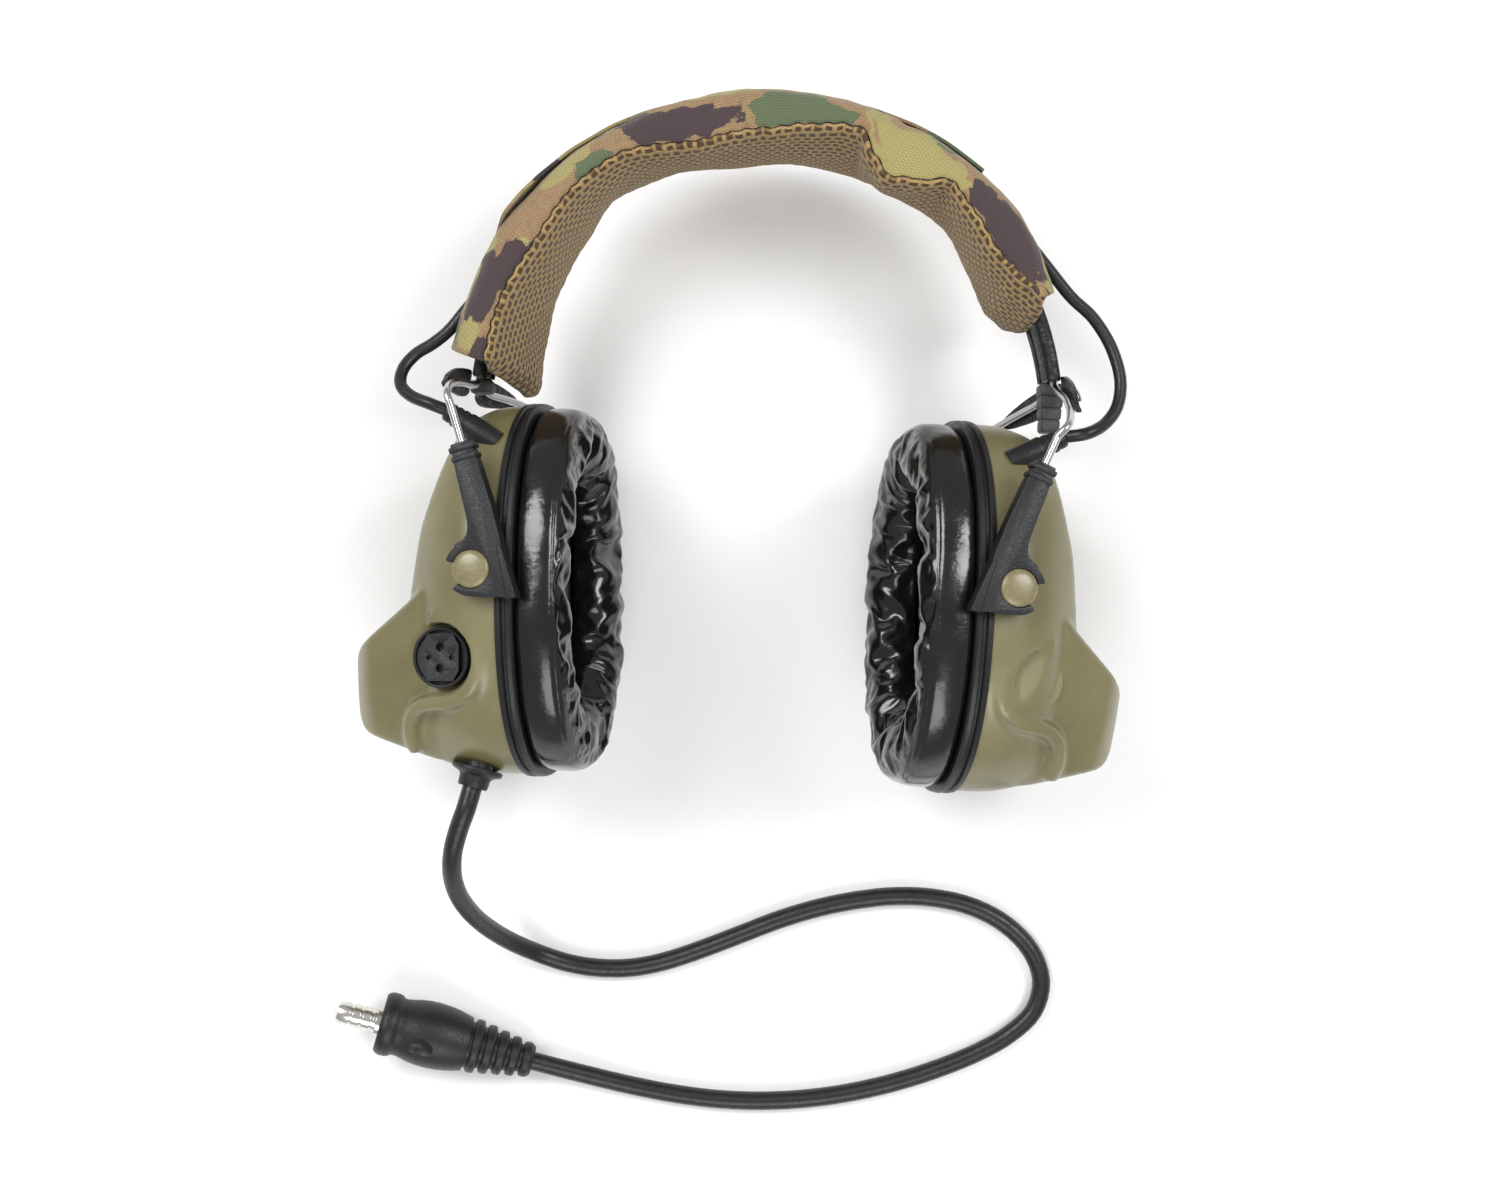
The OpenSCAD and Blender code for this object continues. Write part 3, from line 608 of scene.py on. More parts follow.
vinyl = moulded("cushion_vinyl", (0.006, 0.006, 0.0065), 0.16, (130, 0.35, 0.0009, 5, 0.6), (0.12, 0.26),
                Specular_IOR_Level=0.5, Coat_Weight=0.2, Coat_Roughness=0.1)
for side in (0, 1):
    cushion = hoop("ear_cushion_cover_" + SIDES[side], closed([
        (10.0, 76, 50), (9.8, 88, 62), (9.72, 99, 72), (10.2, 101.6, 74.6), (11.6, 102.9, 75.9),
        (13.8, 103.3, 76.3), (16.2, 103.3, 76.3), (18.4, 102.8, 75.8), (19.8, 101.8, 74.8),
        (20.2, 100.4, 73.4), (20.7, 100.6, 73.6), (21.7, 98.6, 71.6), (22.6, 95, 68),
        (22.9, 90, 63.2), (22.7, 84, 58), (22.2, 78.5, 53), (21, 73, 48), (19.2, 69, 44.6),
        (16.6, 66.4, 42.4), (13.8, 66, 42), (11.4, 67.4, 43), (10.2, 71, 46)]), 96)
    apply(cushion, "SUBSURF", levels=1, render_levels=1)
    crumple(cushion, foam_hold, 0.09, 3, side)
    for vertex in cushion.data.vertices:
        wave = noise.noise(vertex.co * 0.07 + Vector((side * 5, 0, 9)))
        vertex.co += vertex.normal * 0.5 * wave * foam_hold(vertex.co)
        vertex.co.x = max(vertex.co.x, 9.75)
    apply(cushion, "SUBSURF", levels=1, render_levels=1)
    on_cup(cushion, side, vinyl, "ear_cushion", 75)

# ---------------------------------------------------------------------------
# The foam liners: a thin sheet of dark open-cell foam laid in each cushion's hole,
# in front of the speaker. It is cut by hand and swells a little in the middle.

foam = shader("liner_foam", (0.012, 0.013, 0.024), 0.95, Sheen_Weight=0.15, Sheen_Roughness=0.5)
pores = add(foam, "TexVoronoi", Scale=900)
link(foam, add(foam, "TexCoord"), pores, "Object", "Vector")
emboss(foam, pores, 0.7, 0.0006)
# Painted shade: the colour is darkened in the pores, where the pore bump sets the surface low.
feed(foam, ramp(foam, pores, ((0.1, (0.005, 0.005, 0.010)), (0.6, (0.020, 0.021, 0.034)))), "Base Color")
for side in (0, 1):
    liner = hoop("foam_liner_sheet_" + SIDES[side], [
        (5, 6, 4), (4.8, 40, 28), (4.75, 80, 54), (4.75, 91, 64), (5.2, 93, 66), (7.0, 93, 66),
        (7.6, 91.6, 64.6), (7.8, 82, 56), (8.2, 66, 42), (8.5, 48, 30), (8.6, 30, 19),
        (8.6, 14, 9), (8.6, 6, 4)], 96)
    choose(liner)
    bpy.ops.object.mode_set(mode="EDIT")
    bpy.ops.mesh.select_all(action="SELECT")
    bpy.ops.mesh.region_to_loop()
    bpy.ops.mesh.edge_face_add()
    bpy.ops.object.mode_set(mode="OBJECT")
    for vertex in liner.data.vertices:
        if vertex.co.x > 7:
            vertex.co.x += 0.5 * noise.noise(vertex.co * 0.08 + Vector((side * 9, 0, 0)))
    on_cup(liner, side, foam, "foam_liner", 60)

# ---------------------------------------------------------------------------
# The pieces inside a cup keep the form that they are designed to: a moulded baffle
# on four screws, the speaker behind it, the circuit board and the battery cell.
# Each gets the finish of its own material.


def dress(material, slot, *nodes):
    """Give CAD nodes the material of their finish."""
    for node in nodes:
        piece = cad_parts[node]
        for place in piece.material_slots:
            place.material = material
        if not piece.material_slots:
            piece.data.materials.append(material)


def both(node):
    return [node + "_" + side for side in SIDES]


charcoal = moulded("charcoal_plastic", (0.035, 0.038, 0.042), 0.5, (1500, 0.3, 0.0003), (0.42, 0.6))
dress(charcoal, "charcoal_plastic", *both("baffle"))

screw_steel = moulded("screw_steel", (0.55, 0.55, 0.56), 0.3, (700, 0.15, 0.0002), (0.22, 0.42), Metallic=1)
dress(screw_steel, "spring_steel", *both("baffle_screws"), *both("mic_capsule"))

basket = moulded("speaker_basket", (0.09, 0.09, 0.10), 0.45, (900, 0.25, 0.0003), (0.35, 0.55), Metallic=0.6)
dress(basket, "speaker_frame", *both("speaker"))

board = shader("board_lacquer", (0.010, 0.10, 0.035), 0.3, Coat_Weight=0.5, Coat_Roughness=0.15)
tracks = add(board, "TexBrick", Scale=180, Mortar_Size=0.03, Brick_Width=0.7)
for socket, colour in (("Color1", (0.010, 0.10, 0.035)), ("Color2", (0.012, 0.085, 0.030)),
                       ("Mortar", (0.03, 0.20, 0.07))):
    tracks.inputs[socket].default_value = (*colour, 1)
link(board, add(board, "TexCoord"), tracks, "Object", "Vector")
feed(board, tracks, "Base Color")
dress(board, "board_green", *both("circuit_board"))

sleeve = shader("battery_sleeve", (0.30, 0.20, 0.05), 0.3, Coat_Weight=0.4)
mottle(sleeve, grain(sleeve, 400, 0.1, 0.0002), (0.26, 0.17, 0.04), (0.34, 0.23, 0.06))
dress(sleeve, "battery_sleeve", *both("battery_cell"))

# ---------------------------------------------------------------------------
# The arms: black glass-filled nylon, moulded, one in front of and one behind each
# cup. The jaw at the foot snaps round a stud of the cup; a bore along the arm grips
# a spring wire, below two raised grip bars.

ARM_LEAN = (17, 25)
ARM_Z, ARM_T, GRIP_X, GRIP_Z = 40.2, 5, 6.9, 42.7
STUD_R = 5.2


def arms(side):
    return hand(side) @ Matrix.Rotation(math.radians(ARM_LEAN[side]), 4, "Z")


def soften(piece, width, segments=3):
    """Rounded moulding edges."""
    return apply(piece, "BEVEL", width=width, segments=segments, limit_method="ANGLE",
                 angle_limit=math.radians(35), harden_normals=False)


def fuse(name, parts):
    """Join parts into the first one."""
    clear()
    for part in parts:
        part.select_set(True)
    bpy.context.view_layer.objects.active = parts[0]
    if len(parts) > 1:
        bpy.ops.object.join()
    parts[0].name = name
    return parts[0]


def twin(piece, name):
    """Copy of a piece, with its own mesh."""
    made = piece.copy()
    made.data = piece.data.copy()
    made.name = name
    bpy.context.collection.objects.link(made)
    return made


nylon = moulded("arm_nylon", (0.009, 0.0095, 0.011), 0.42, (1500, 0.4, 0.0003), (0.35, 0.52),
                Specular_IOR_Level=0.4)

blade_edge = smooth_line([(3.6, 25, 0), (3.1, 16, 0), (2.6, 11.5, 0), (1.0, 8.6, 0),
                          (-2.2, 7.6, 0)], 5)
jaw_arc = [(7.3 * math.cos(math.radians(a)), 7.3 * math.sin(math.radians(a)))
           for a in range(112, 262, 10)]
blade_outline = ([(4.3, 33.3), (9.7, 33.3), (10.3, 26), (10.5, 14), (10.2, 6), (9.4, 0), (9.4, -9.8),
                  (7.4, -10.4), (5.2, -9.4), (1.5, -8.4)] + jaw_arc[::-1][:6]
                 + jaw_arc[:4][::-1] + [(p.x, p.y) for p in reversed(blade_edge)])
blade = slab("blade", blade_outline, ARM_Z, ARM_Z + ARM_T)
cut(blade, drill(0, 0, ARM_Z - 1, STUD_R + 0.1, ARM_T + 2), solver="MANIFOLD")
mouth = slab("mouth", [(0.5, 0), (-10, 6.6), (-12, 0), (-10, -5.6)], ARM_Z - 1, ARM_Z + ARM_T + 1)
cut(blade, mouth, solver="MANIFOLD")
soften(blade, 0.55)
bars = [slab("bar", [(3.5, y), (10.6, y), (10.6, y + 1.5), (3.5, y + 1.5)], ARM_Z - 0.35,
             ARM_Z + ARM_T + 0.45) for y in (28.4, 31)]
bars.append(slab("spine", [(7.0, -10.6), (9.9, -10.9), (9.9, 3.2), (8.9, 4.6)], ARM_Z - 0.1,
                 ARM_Z + ARM_T + 0.3))
for bar in bars:
    soften(bar, 0.4)
arm_master = fuse("arm_master", [blade] + bars)
for side in (0, 1):
    for front, word in ((1, "front"), (-1, "rear")):
        arm = twin(arm_master, word + "_arm_blade_" + SIDES[side])
        settle(arm, arms(side) @ Matrix.Diagonal((1, 1, front, 1)))
        finish(arm, nylon, "arms_" + SIDES[side],
               [word + "_arm_" + SIDES[side]], 35)
bpy.data.objects.remove(arm_master)

# ---------------------------------------------------------------------------
# The pivot studs: domed olive heads, pressed into the front and the back of each
# shell. The arms' jaws snap round their necks.

stud_olive = shader("stud_olive", (0.19, 0.16, 0.078), 0.34, Coat_Weight=0.3, Coat_Roughness=0.2)
mottle(stud_olive, grain(stud_olive, 900, 0.15, 0.0002), (0.165, 0.14, 0.066), (0.21, 0.18, 0.09))
for side in (0, 1):
    heads = []
    for turn in (0, 180):
        head = turned("stud", [
            (2.4, 34.2), (2.4, 39.2), (4.9, 39.3), (5.15, 39.6), (5.2, 40.3), (5.2, 44.7),
            (5.05, 45.2), (4.6, 45.55), (3.6, 45.85), (2.2, 46.05), (0.8, 46.1), (0.2, 46.1)], 48)
        head.data.transform(Matrix.Rotation(math.radians(turn), 4, "X"))
        heads.append(head)
    on_cup(fuse("pivot_stud_heads_" + SIDES[side], heads), side, stud_olive, "pivot_studs", 40)

# ---------------------------------------------------------------------------
# The spring wires: two bright rods of 2.2 mm spring steel, bent over the head. Each
# one splays out of the strap at both ends and runs down into the arms' bores.

ARCH_X, ARCH_Y = 4.6, 52.8
STRAP_END = (83, 84)
SPLAY = {
    1: ([(-77.3, 61.2, 8.6), (-78.2, 60.4, 14), (-79.4, 60, 24), (-80.8, 59, 34),
         (-81.5, 57, 39), (-81.3, 54.8, 40.6)],
        [(86.5, 59.5, 9), (86.9, 57.5, 16), (87.1, 55, 26), (87, 51.5, 34),
         (86.2, 48, 38.6), (84.9, 46.2, 40.1)]),
    -1: ([(-76.9, 61, -8.6), (-76, 60, -14), (-72.5, 59.5, -24), (-68.6, 58.6, -34),
          (-66, 57, -40), (-65.2, 55, -42.2)],
         [(86, 59.5, -9), (84.6, 57.5, -15), (79.8, 55, -26), (74.4, 52, -36),
          (70.6, 48.6, -42.3), (69, 46.6, -43.7)])}
LEG_TOP = (44, 42)


def arch_point(radius, angle, z):
    """A point over the head; angle is in degrees from the crown, to the left."""
    a = math.radians(angle)
    return Vector((ARCH_X - radius * math.sin(a), ARCH_Y + radius * math.cos(a), z))


spring_steel = moulded("spring_steel", (0.5, 0.5, 0.51), 0.22, (60, 0.01, 0.0001), (0.2, 0.27), Metallic=1)
for front, word in ((1, "front"), (-1, "rear")):
    legs = [[arms(side) @ Vector((GRIP_X, y, front * GRIP_Z))
             for y in (4, 14, 24, 34, LEG_TOP[side] - 2, LEG_TOP[side])] for side in (0, 1)]
    over = [arch_point(82, STRAP_END[0] - i * (STRAP_END[0] + STRAP_END[1]) / 40, front * 7)
            for i in range(41)]
    line = (legs[0] + [lay(p) for p in reversed(SPLAY[front][0])] + [lay(p) for p in over]
            + [lay(p) for p in SPLAY[front][1]] + legs[1][::-1])
    wire = hose("spring_wire_rod_" + word, smooth_line(line, 4), 1.1 * MM, 24)
    wire.data.materials.append(spring_steel)
    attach(wire, "headband")
    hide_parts("spring_wire_" + word)

# ---------------------------------------------------------------------------
# The head strap: black leatherette folded round both wires and a webbing core, sewn
# along its edges. Rubber sleeves close its two ends.


def arched(name, section, left, right, steps=110):
    """Section of (radius, z) corners, spun over the head from left to right degrees."""
    clear()
    bpy.ops.mesh.primitive_circle_add(vertices=len(section), fill_type="NGON")
    piece = bpy.context.object
    piece.name = name
    for vertex, (radius, z) in zip(piece.data.vertices, section):
        vertex.co = arch_point(radius, left, z)
    bpy.ops.object.mode_set(mode="EDIT")
    bpy.ops.mesh.select_all(action="SELECT")
    bpy.ops.mesh.spin(steps=steps, angle=math.radians(left + right), center=(ARCH_X, ARCH_Y, 0),
                      axis=(0, 0, 1))
    close_up()
    return piece


plane = headset @ Matrix.Scale(MM, 4)
leather = shader("black_leather", (0.008, 0.008, 0.009), 0.45, Specular_IOR_Level=0.4)
leather_cells = add(leather, "TexVoronoi", Scale=700)
link(leather, add(leather, "TexCoord"), leather_cells, "Object", "Vector")
emboss(leather, leather_cells, 0.5, 0.0004)
mottle(leather, leather_cells, 0.38, 0.6, "Roughness")
strap = arched("strap_leather", [
    (80.5, -9.6), (80.2, -9), (80.1, -4), (80.1, 4), (80.2, 9), (80.5, 9.6), (81.5, 10),
    (82.5, 10), (83.5, 9.6), (83.8, 9), (83.9, 4), (83.9, -4), (83.8, -9), (83.5, -9.6),
    (82.5, -10), (81.5, -10)],
    STRAP_END[0] - 0.5, STRAP_END[1] - 0.5)
ribs = [arched("rib", [(79.7, z - 0.8), (79.4, z), (79.7, z + 0.8), (80.3, z + 0.8), (80.3, z - 0.8)],
               STRAP_END[0] - 1, STRAP_END[1] - 1) for z in (-8, -5.6, 5.6, 8)]
finish(settle(fuse("strap_leather", [strap] + ribs), plane), leather, "headband",
       ["head_strap"], 50)

sleeve_rubber = moulded("sleeve_rubber", (0.045, 0.045, 0.043), 0.62, (800, 0.4, 0.0004), (0.5, 0.72))
for side, turn, widths in ((0, 4, (6.4,)), (1, -3, (7, 6.5, 6, 5.5))):
    blocks = []
    for i, width in enumerate(widths):
        top, low, half = -3.4 * i, -3.4 * (i + 1), width / 2
        deep = 5 + 0.25 * (3 - i if side else 0)
        block = slab("step", [(-half, top), (half, top), (half - 0.15, low - 0.3),
                              (-half + 0.15, low - 0.3)], -deep, deep)
        blocks.append(soften(block, 0.9, 4))
    angle = -STRAP_END[1] if side else STRAP_END[0]
    at = arch_point(82, angle, 0)
    place = plane @ Matrix.Translation((at.x, at.y - 0.3 * (1 - side) + 0.3, 0)) @ Matrix.Rotation(
        math.radians(turn), 4, "Z")
    finish(settle(fuse("strap_sleeve_" + SIDES[side], blocks), place), sleeve_rubber, "headband",
           ["band_end_" + SIDES[side]], 50)

# ---------------------------------------------------------------------------
# The strap tabs: two leather leaves at each end of the strap, sewn over the wires
# where they splay out. A bright wire clip shows on each of them.


def lattice(name, rows):
    """Surface through rows of points; its UVs count along and across from 0 to 1."""
    down, across = len(rows) - 1, len(rows[0]) - 1
    clear()
    bpy.ops.mesh.primitive_grid_add(x_subdivisions=across, y_subdivisions=down, size=1)
    piece = bpy.context.object
    piece.name = name
    for i, row in enumerate(rows):
        for k, point in enumerate(row):
            piece.data.vertices[i * (across + 1) + k].co = point
    return piece


for side in (0, 1):
    out = Vector((-2.2 if side == 0 else 2.2, 0.6, 0))
    leaves = []
    for front in (1, -1):
        way = smooth_line([Vector(p) + out for p in SPLAY[front][side][:4]], 6)
        rows = []
        for i, point in enumerate(way):
            t = i / (len(way) - 1)
            wide = 3.6 * math.sin(math.pi * min(1, 0.22 + 0.76 * t)) ** 0.7 + 0.3
            bow = 0.35 if side else -0.35
            rows.append([point + Vector((bow * math.cos(math.pi * k / 8), wide * (k / 4 - 1), 0))
                         for k in range(9)])
        leaf = lattice("leaf", rows)
        apply(leaf, "SOLIDIFY", thickness=1.1, offset=0)
        leaves.append(leaf)
        clip = hose("clip", smooth_line([p + out * 0.55 + Vector((0, w, 0)) for p, w in
                    zip([way[k] for k in (3, 6, 9, 12, 14, 12, 9, 6, 3)],
                        (1.6, 1.5, 1.2, 0.8, 0, -0.8, -1.2, -1.5, -1.6))], 4), 0.35, 8)
        choose(clip)
        bpy.ops.object.convert(target="MESH")
        finish(settle(clip, plane), spring_steel, "headband", (), 60)
        clip.name = "tab_clip_" + ("front_" if front == 1 else "rear_") + SIDES[side]
    finish(settle(fuse("strap_tab_leaves_" + SIDES[side], leaves), plane), leather, "headband",
           ["strap_tabs_" + SIDES[side]], 50)

# ---------------------------------------------------------------------------
# The cloth cover: printed camouflage twill sewn into a sleeve round the strap. Its
# inner side is a pad of tan spacer mesh, and the two meet in a puckered seam along
# the front and the back.

FRONT_SEAM = ((79, 79.4), (66, 79.8), (56, 79.1), (39, 81.6), (31, 81.7), (14, 76.5), (-1, 77.7),
              (-8, 79.5), (-16, 81.7), (-19.5, 81.9), (-22.5, 76.8), (-27.5, 72.8), (-33, 75.6),
              (-39, 81.3), (-46, 79.4), (-55, 77.6), (-63, 79.4), (-69, 83.2))
REAR_SEAM = ((83, 68.7), (71, 70.4), (58, 74.1), (45, 77.6), (34, 81.7), (21, 80.6), (4, 78.8),
             (-7, 78.7), (-14, 78.9), (-28, 80.5), (-42, 80), (-53, 76.6), (-65, 74.7), (-69, 76.1))
COVER_HALF = 24
ROWS, COLUMNS = 230, 48


def along(table, angle):
    """Value of a table at an angle, eased between its entries."""
    if angle >= table[0][0]:
        return table[0][1]
    for (a, p), (b, q) in zip(table, table[1:]):
        if angle >= b:
            t = (angle - a) / (b - a)
            return p + (q - p) * (0.35 * t + 0.65 * t * t * (3 - 2 * t))
    return table[-1][1]


def cover_section(angle):
    """(radius, z) round the outside of the cover, from the front seam to the rear one."""
    front, rear = along(FRONT_SEAM, angle), along(REAR_SEAM, angle)
    high = along(((80, 90.3), (60, 90.6), (-55, 90.5), (-66, 87.5), (-70, 86.6)), angle)
    back = min(90.6, rear + 11.5)
    half = COVER_HALF
    return smooth_line([
        (front, half - 0.4, 0), (front + 0.45 * (high - 4 - front), half + 0.4, 0),
        (high - 3.6, half - 0.7, 0), (high - 1.3, half - 4, 0), (high, half - 10, 0),
        ((high + back) / 2 + 0.3, 0, 0),
        (back, 10 - half, 0), (back - 1.3, 4 - half, 0), (back - 3.6, 0.7 - half, 0),
        (rear + 0.5 * (back - 4 - rear), -half - 0.3, 0), (rear, 0.4 - half, 0)], 6)


def resample(points, count):
    """The same line with evenly spaced points."""
    runs = [0]
    for a, b in zip(points, points[1:]):
        runs.append(runs[-1] + (b - a).length)
    out, k = [], 0
    for i in range(count + 1):
        want = runs[-1] * i / count
        while k < len(runs) - 2 and runs[k + 1] < want:
            k += 1
        t = (want - runs[k]) / max(runs[k + 1] - runs[k], 1e-9)
        out.append(points[k].lerp(points[k + 1], t))
    return out


def cloth_rows(section, left, right, columns, ripple, tuck=0):
    """Rows of points over the head; left and right give the end angle at a column,
    and tuck how far the hem at each end turns outwards."""
    rows = []
    for i in range(ROWS + 1):
        t = i / ROWS
        row = []
        middle = left(0.5) + (right(0.5) - left(0.5)) * t
        hem = tuck * (max(0, 1 - 45 * t) ** 2 + max(0, 45 * t - 44) ** 2)
        for k, spot in enumerate(resample(section(middle), columns)):
            v = k / columns
            angle = (middle + (left(v) - left(0.5)) * max(0, 1 - 12 * t)
                     + (right(v) - right(0.5)) * max(0, 12 * t - 11))
            edge = min(v, 1 - v) * 48
            where = Vector((math.radians(angle) * 85, v * 75, 0))
            turn = hem * min(1, edge / 8)
            row.append(arch_point(spot.x + turn + ripple(where, edge, spot), angle, spot.y))
        rows.append(row)
    return rows


def seam_ripple(where):
    """Puckers that the seam draws both cloths into."""
    return 0.3 * math.sin(where.x * 1.35 + 4 * noise.noise(Vector((where.x * 0.05, where.y, 2))))


def cover_ripple(where, edge, spot):
    """Puckers next to the seams, long soft folds, and the fold to the right of the crown."""
    near = math.exp(-edge / 3.2)
    soft = 0.9 * noise.noise(Vector((where.x * 0.055, where.y * 0.03, 4)))
    fine = 0.35 * noise.noise(Vector((where.x * 0.2, where.y * 0.09, 8)))
    crease = -1.1 * math.exp(-((where.x + 33 + 0.25 * where.y) / 2.6) ** 2)
    return near * seam_ripple(where) + (1 - near) * (soft + fine + crease - 0.5)


def shade_uv(piece, columns, length, width):
    """UVs in centimetres: along the head, and across the cloth."""
    for loop in piece.data.loops:
        i, k = divmod(loop.vertex_index, columns + 1)
        piece.data.uv_layers[0].data[loop.index].uv = (i / ROWS * length, k / columns * width)


cover = lattice("cover_cloth", cloth_rows(
    cover_section, lambda v: 78.6 + 3.6 * max(0, abs(2 * v - 1) - 0.45),
    lambda v: -66.8 - 1.5 * abs(2 * v - 1), COLUMNS, cover_ripple))
shade_uv(cover, COLUMNS, 21.8, 7.6)

# Blotches of the print: (angle, share across from the front seam, angle width, share width)
DARK = ((66, 0.10, 8, 0.11), (60, 0.05, 5, 0.07), (18, 0.10, 11, 0.09), (27, 0.2, 8, 0.07),
        (-53, 0.10, 10, 0.10), (-60, 0.05, 7, 0.09), (-16, 0.24, 6, 0.07), (44, 0.45, 9, 0.12),
        (2, 0.55, 12, 0.09), (-34, 0.62, 10, 0.12), (70, 0.7, 9, 0.10), (22, 0.8, 10, 0.12),
        (-58, 0.75, 8, 0.10), (-12, 0.9, 9, 0.08), (78, 0.03, 4, 0.05))
GREEN = ((-5, 0.10, 8, 0.13), (-11, 0.04, 6, 0.06), (74, 0.30, 8, 0.10), (36, 0.02, 5, 0.05),
         (-42, 0.3, 9, 0.10), (30, 0.6, 10, 0.13), (-20, 0.75, 10, 0.12), (56, 0.85, 9, 0.10),
         (10, 0.36, 8, 0.07), (-64, 0.4, 6, 0.1))
PALE = ((66, 0.21, 9, 0.06), (57, 0.03, 3, 0.05), (74, 0.12, 5, 0.06), (30, 0.32, 18, 0.06),
        (-28, 0.09, 9, 0.13), (-38, 0.04, 7, 0.08), (-47, 0.28, 10, 0.09), (-64, 0.16, 5, 0.12),
        (6, 0.24, 10, 0.05), (-20, 0.42, 10, 0.08), (48, 0.64, 10, 0.10), (12, 0.68, 10, 0.07),
        (-46, 0.86, 9, 0.10), (64, 0.5, 9, 0.09), (38, 0.12, 7, 0.05))


def blotch(spots, angle, share, seed):
    """How far inside the nearest blotch a place is; 0.5 is on its edge."""
    best = 0
    warp = (0.75 * noise.noise(Vector((angle * 0.11, share * 9, seed)))
            + 0.5 * noise.noise(Vector((angle * 0.3, share * 24, seed + 3))))
    for a, v, wide, tall in spots:
        near = math.hypot((angle - a) / wide, (share - v) / tall) + warp
        best = max(best, 1 - 0.5 * near)
    return best


def print_on(cloth, columns, start, span, edge, width):
    """Keep the print's three masks on a cloth that runs from an angle over a span;
    edge and width are the shares of the cover's width that it takes."""
    mask = cloth.data.color_attributes.new("print", "FLOAT_COLOR", "POINT")
    for i in range(ROWS + 1):
        for k in range(columns + 1):
            angle, share = start - i / ROWS * span, edge + width * k / columns
            mask.data[i * (columns + 1) + k].color = (
                blotch(DARK, angle, share, 1), blotch(GREEN, angle, share, 5),
                blotch(PALE, angle, share, 9), 1)


def hang(cloth, thickness, offset, material, node, angle, smooth=True):
    """Give a cloth its thickness and finish, on the headband."""
    settle(cloth, plane)
    apply(cloth, "SOLIDIFY", thickness=thickness * MM, offset=offset)
    if smooth:
        apply(cloth, "SUBSURF", levels=1, render_levels=1)
    finish(cloth, material, "headband", [node], angle)


print_on(cover, COLUMNS, 78.6, 145.4, 0, 1)

camo = shader("camouflage_twill", (0.38, 0.205, 0.102), 0.85, Sheen_Weight=0.12, Sheen_Roughness=0.5)
camo_uv = add(camo, "UVMap")
camo_mask = add(camo, "Attribute", attribute_name="print")
ragged = add(camo, "TexNoise", Scale=3.2, Detail=5, Roughness=0.65)
link(camo, camo_uv, ragged, 0, "Vector")
split = add(camo, "SeparateColor")
link(camo, camo_mask, split, "Color", "Color")


PRINT_LOW, PRINT_HIGH = 0.67, 0.70


def blend_in(material, below, above, channel):
    """Print a colour over another where its mask, roughened, is high enough."""
    rough = add(material, "Math", operation="MULTIPLY_ADD")
    link(material, ragged, rough, 0, 0)
    rough.inputs[1].default_value = 0.34
    link(material, split, rough, channel, 2)
    edge = add(material, "MapRange", From_Min=PRINT_LOW, From_Max=PRINT_HIGH)
    link(material, rough, edge, 0, "Value")
    mix = add(material, "Mix", data_type="RGBA")
    link(material, edge, mix, 0, "Factor")
    link(material, below, mix, 2 if below.bl_idname == "ShaderNodeMix" else 0, 6)
    mix.inputs[7].default_value = (*above, 1)
    return mix


layer = ramp(camo, ragged, ((0.42, (0.33, 0.20, 0.105)), (0.5, (0.36, 0.245, 0.12)),
                            (0.62, (0.30, 0.185, 0.10))))
for colour, channel in (((0.40, 0.345, 0.13), "Blue"), ((0.12, 0.155, 0.078), "Green"),
                        ((0.066, 0.042, 0.045), "Red")):
    layer = blend_in(camo, layer, colour, channel)
twill = add(camo, "TexWave", Scale=5, Distortion=0.6, Detail=1, Detail_Scale=3, bands_direction="DIAGONAL")
link(camo, camo_uv, twill, 0, "Vector")
weft = add(camo, "TexWave", Scale=3.2, Distortion=0.8, Detail=1, Detail_Scale=3, bands_direction="Y")
link(camo, camo_uv, weft, 0, "Vector")
weave = add(camo, "Math", operation="MULTIPLY")
link(camo, twill, weave, "Fac", 0)
link(camo, weft, weave, "Fac", 1)
# Painted shade: the colour is darkened in the twill's grooves, where the weave's bump is low.
weave_painted_shade = add(camo, "Mix", data_type="RGBA", blend_type="MULTIPLY")
weave_painted_shade.inputs[0].default_value = 0.85
link(camo, layer, weave_painted_shade, 2, 6)
link(camo, ramp(camo, weave, ((0.0, 0.6), (0.7, 1.0))), weave_painted_shade, 0, 7)
feed(camo, weave_painted_shade, "Base Color", 2)
emboss(camo, weave, 0.55, 0.0003)

hang(cover, 0.9, -1, camo, "cover_fabric", 60)


def pad_section(angle):
    """(radius, z) across the pad from the front seam to the rear one, swelling inwards."""
    front, rear = along(FRONT_SEAM, angle), along(REAR_SEAM, angle)
    line = []
    for k in range(25):
        v = k / 24
        swell = 3.4 * math.sin(math.pi * v) ** 0.55
        line.append(Vector((front + (rear - front) * v - swell + 0.3, (COVER_HALF - 0.2) * (1 - 2 * v), 0)))
    return line


def pad_ripple(where, edge, spot):
    near = math.exp(-edge / 4)
    soft = 1.1 * noise.noise(Vector((where.x * 0.05, where.y * 0.045, 14)))
    return near * seam_ripple(where) + (1 - near) * soft


PAD_COLUMNS = 36
pad = lattice("cover_mesh_pad", cloth_rows(
    pad_section, lambda v: 80.6 + 4.4 * v - 40 * max(0, v - 0.75) ** 2,
    lambda v: -68 - 3.4 * math.sin(math.pi * v), PAD_COLUMNS, pad_ripple, 3))
shade_uv(pad, PAD_COLUMNS, 22, 5.2)
mesh = shader("spacer_mesh", (0.40, 0.265, 0.095), 0.9, Sheen_Weight=0.15, Sheen_Roughness=0.5)
mesh_uv = add(mesh, "UVMap")
mesh_warp = add(mesh, "TexNoise", Scale=1.4, Detail=1)
link(mesh, mesh_uv, mesh_warp, 0, "Vector")
mesh_shift = add(mesh, "VectorMath", operation="MULTIPLY_ADD")
link(mesh, mesh_warp, mesh_shift, "Color", 0)
mesh_shift.inputs[1].default_value = (0.1, 0.1, 0)
link(mesh, mesh_uv, mesh_shift, 0, 2)
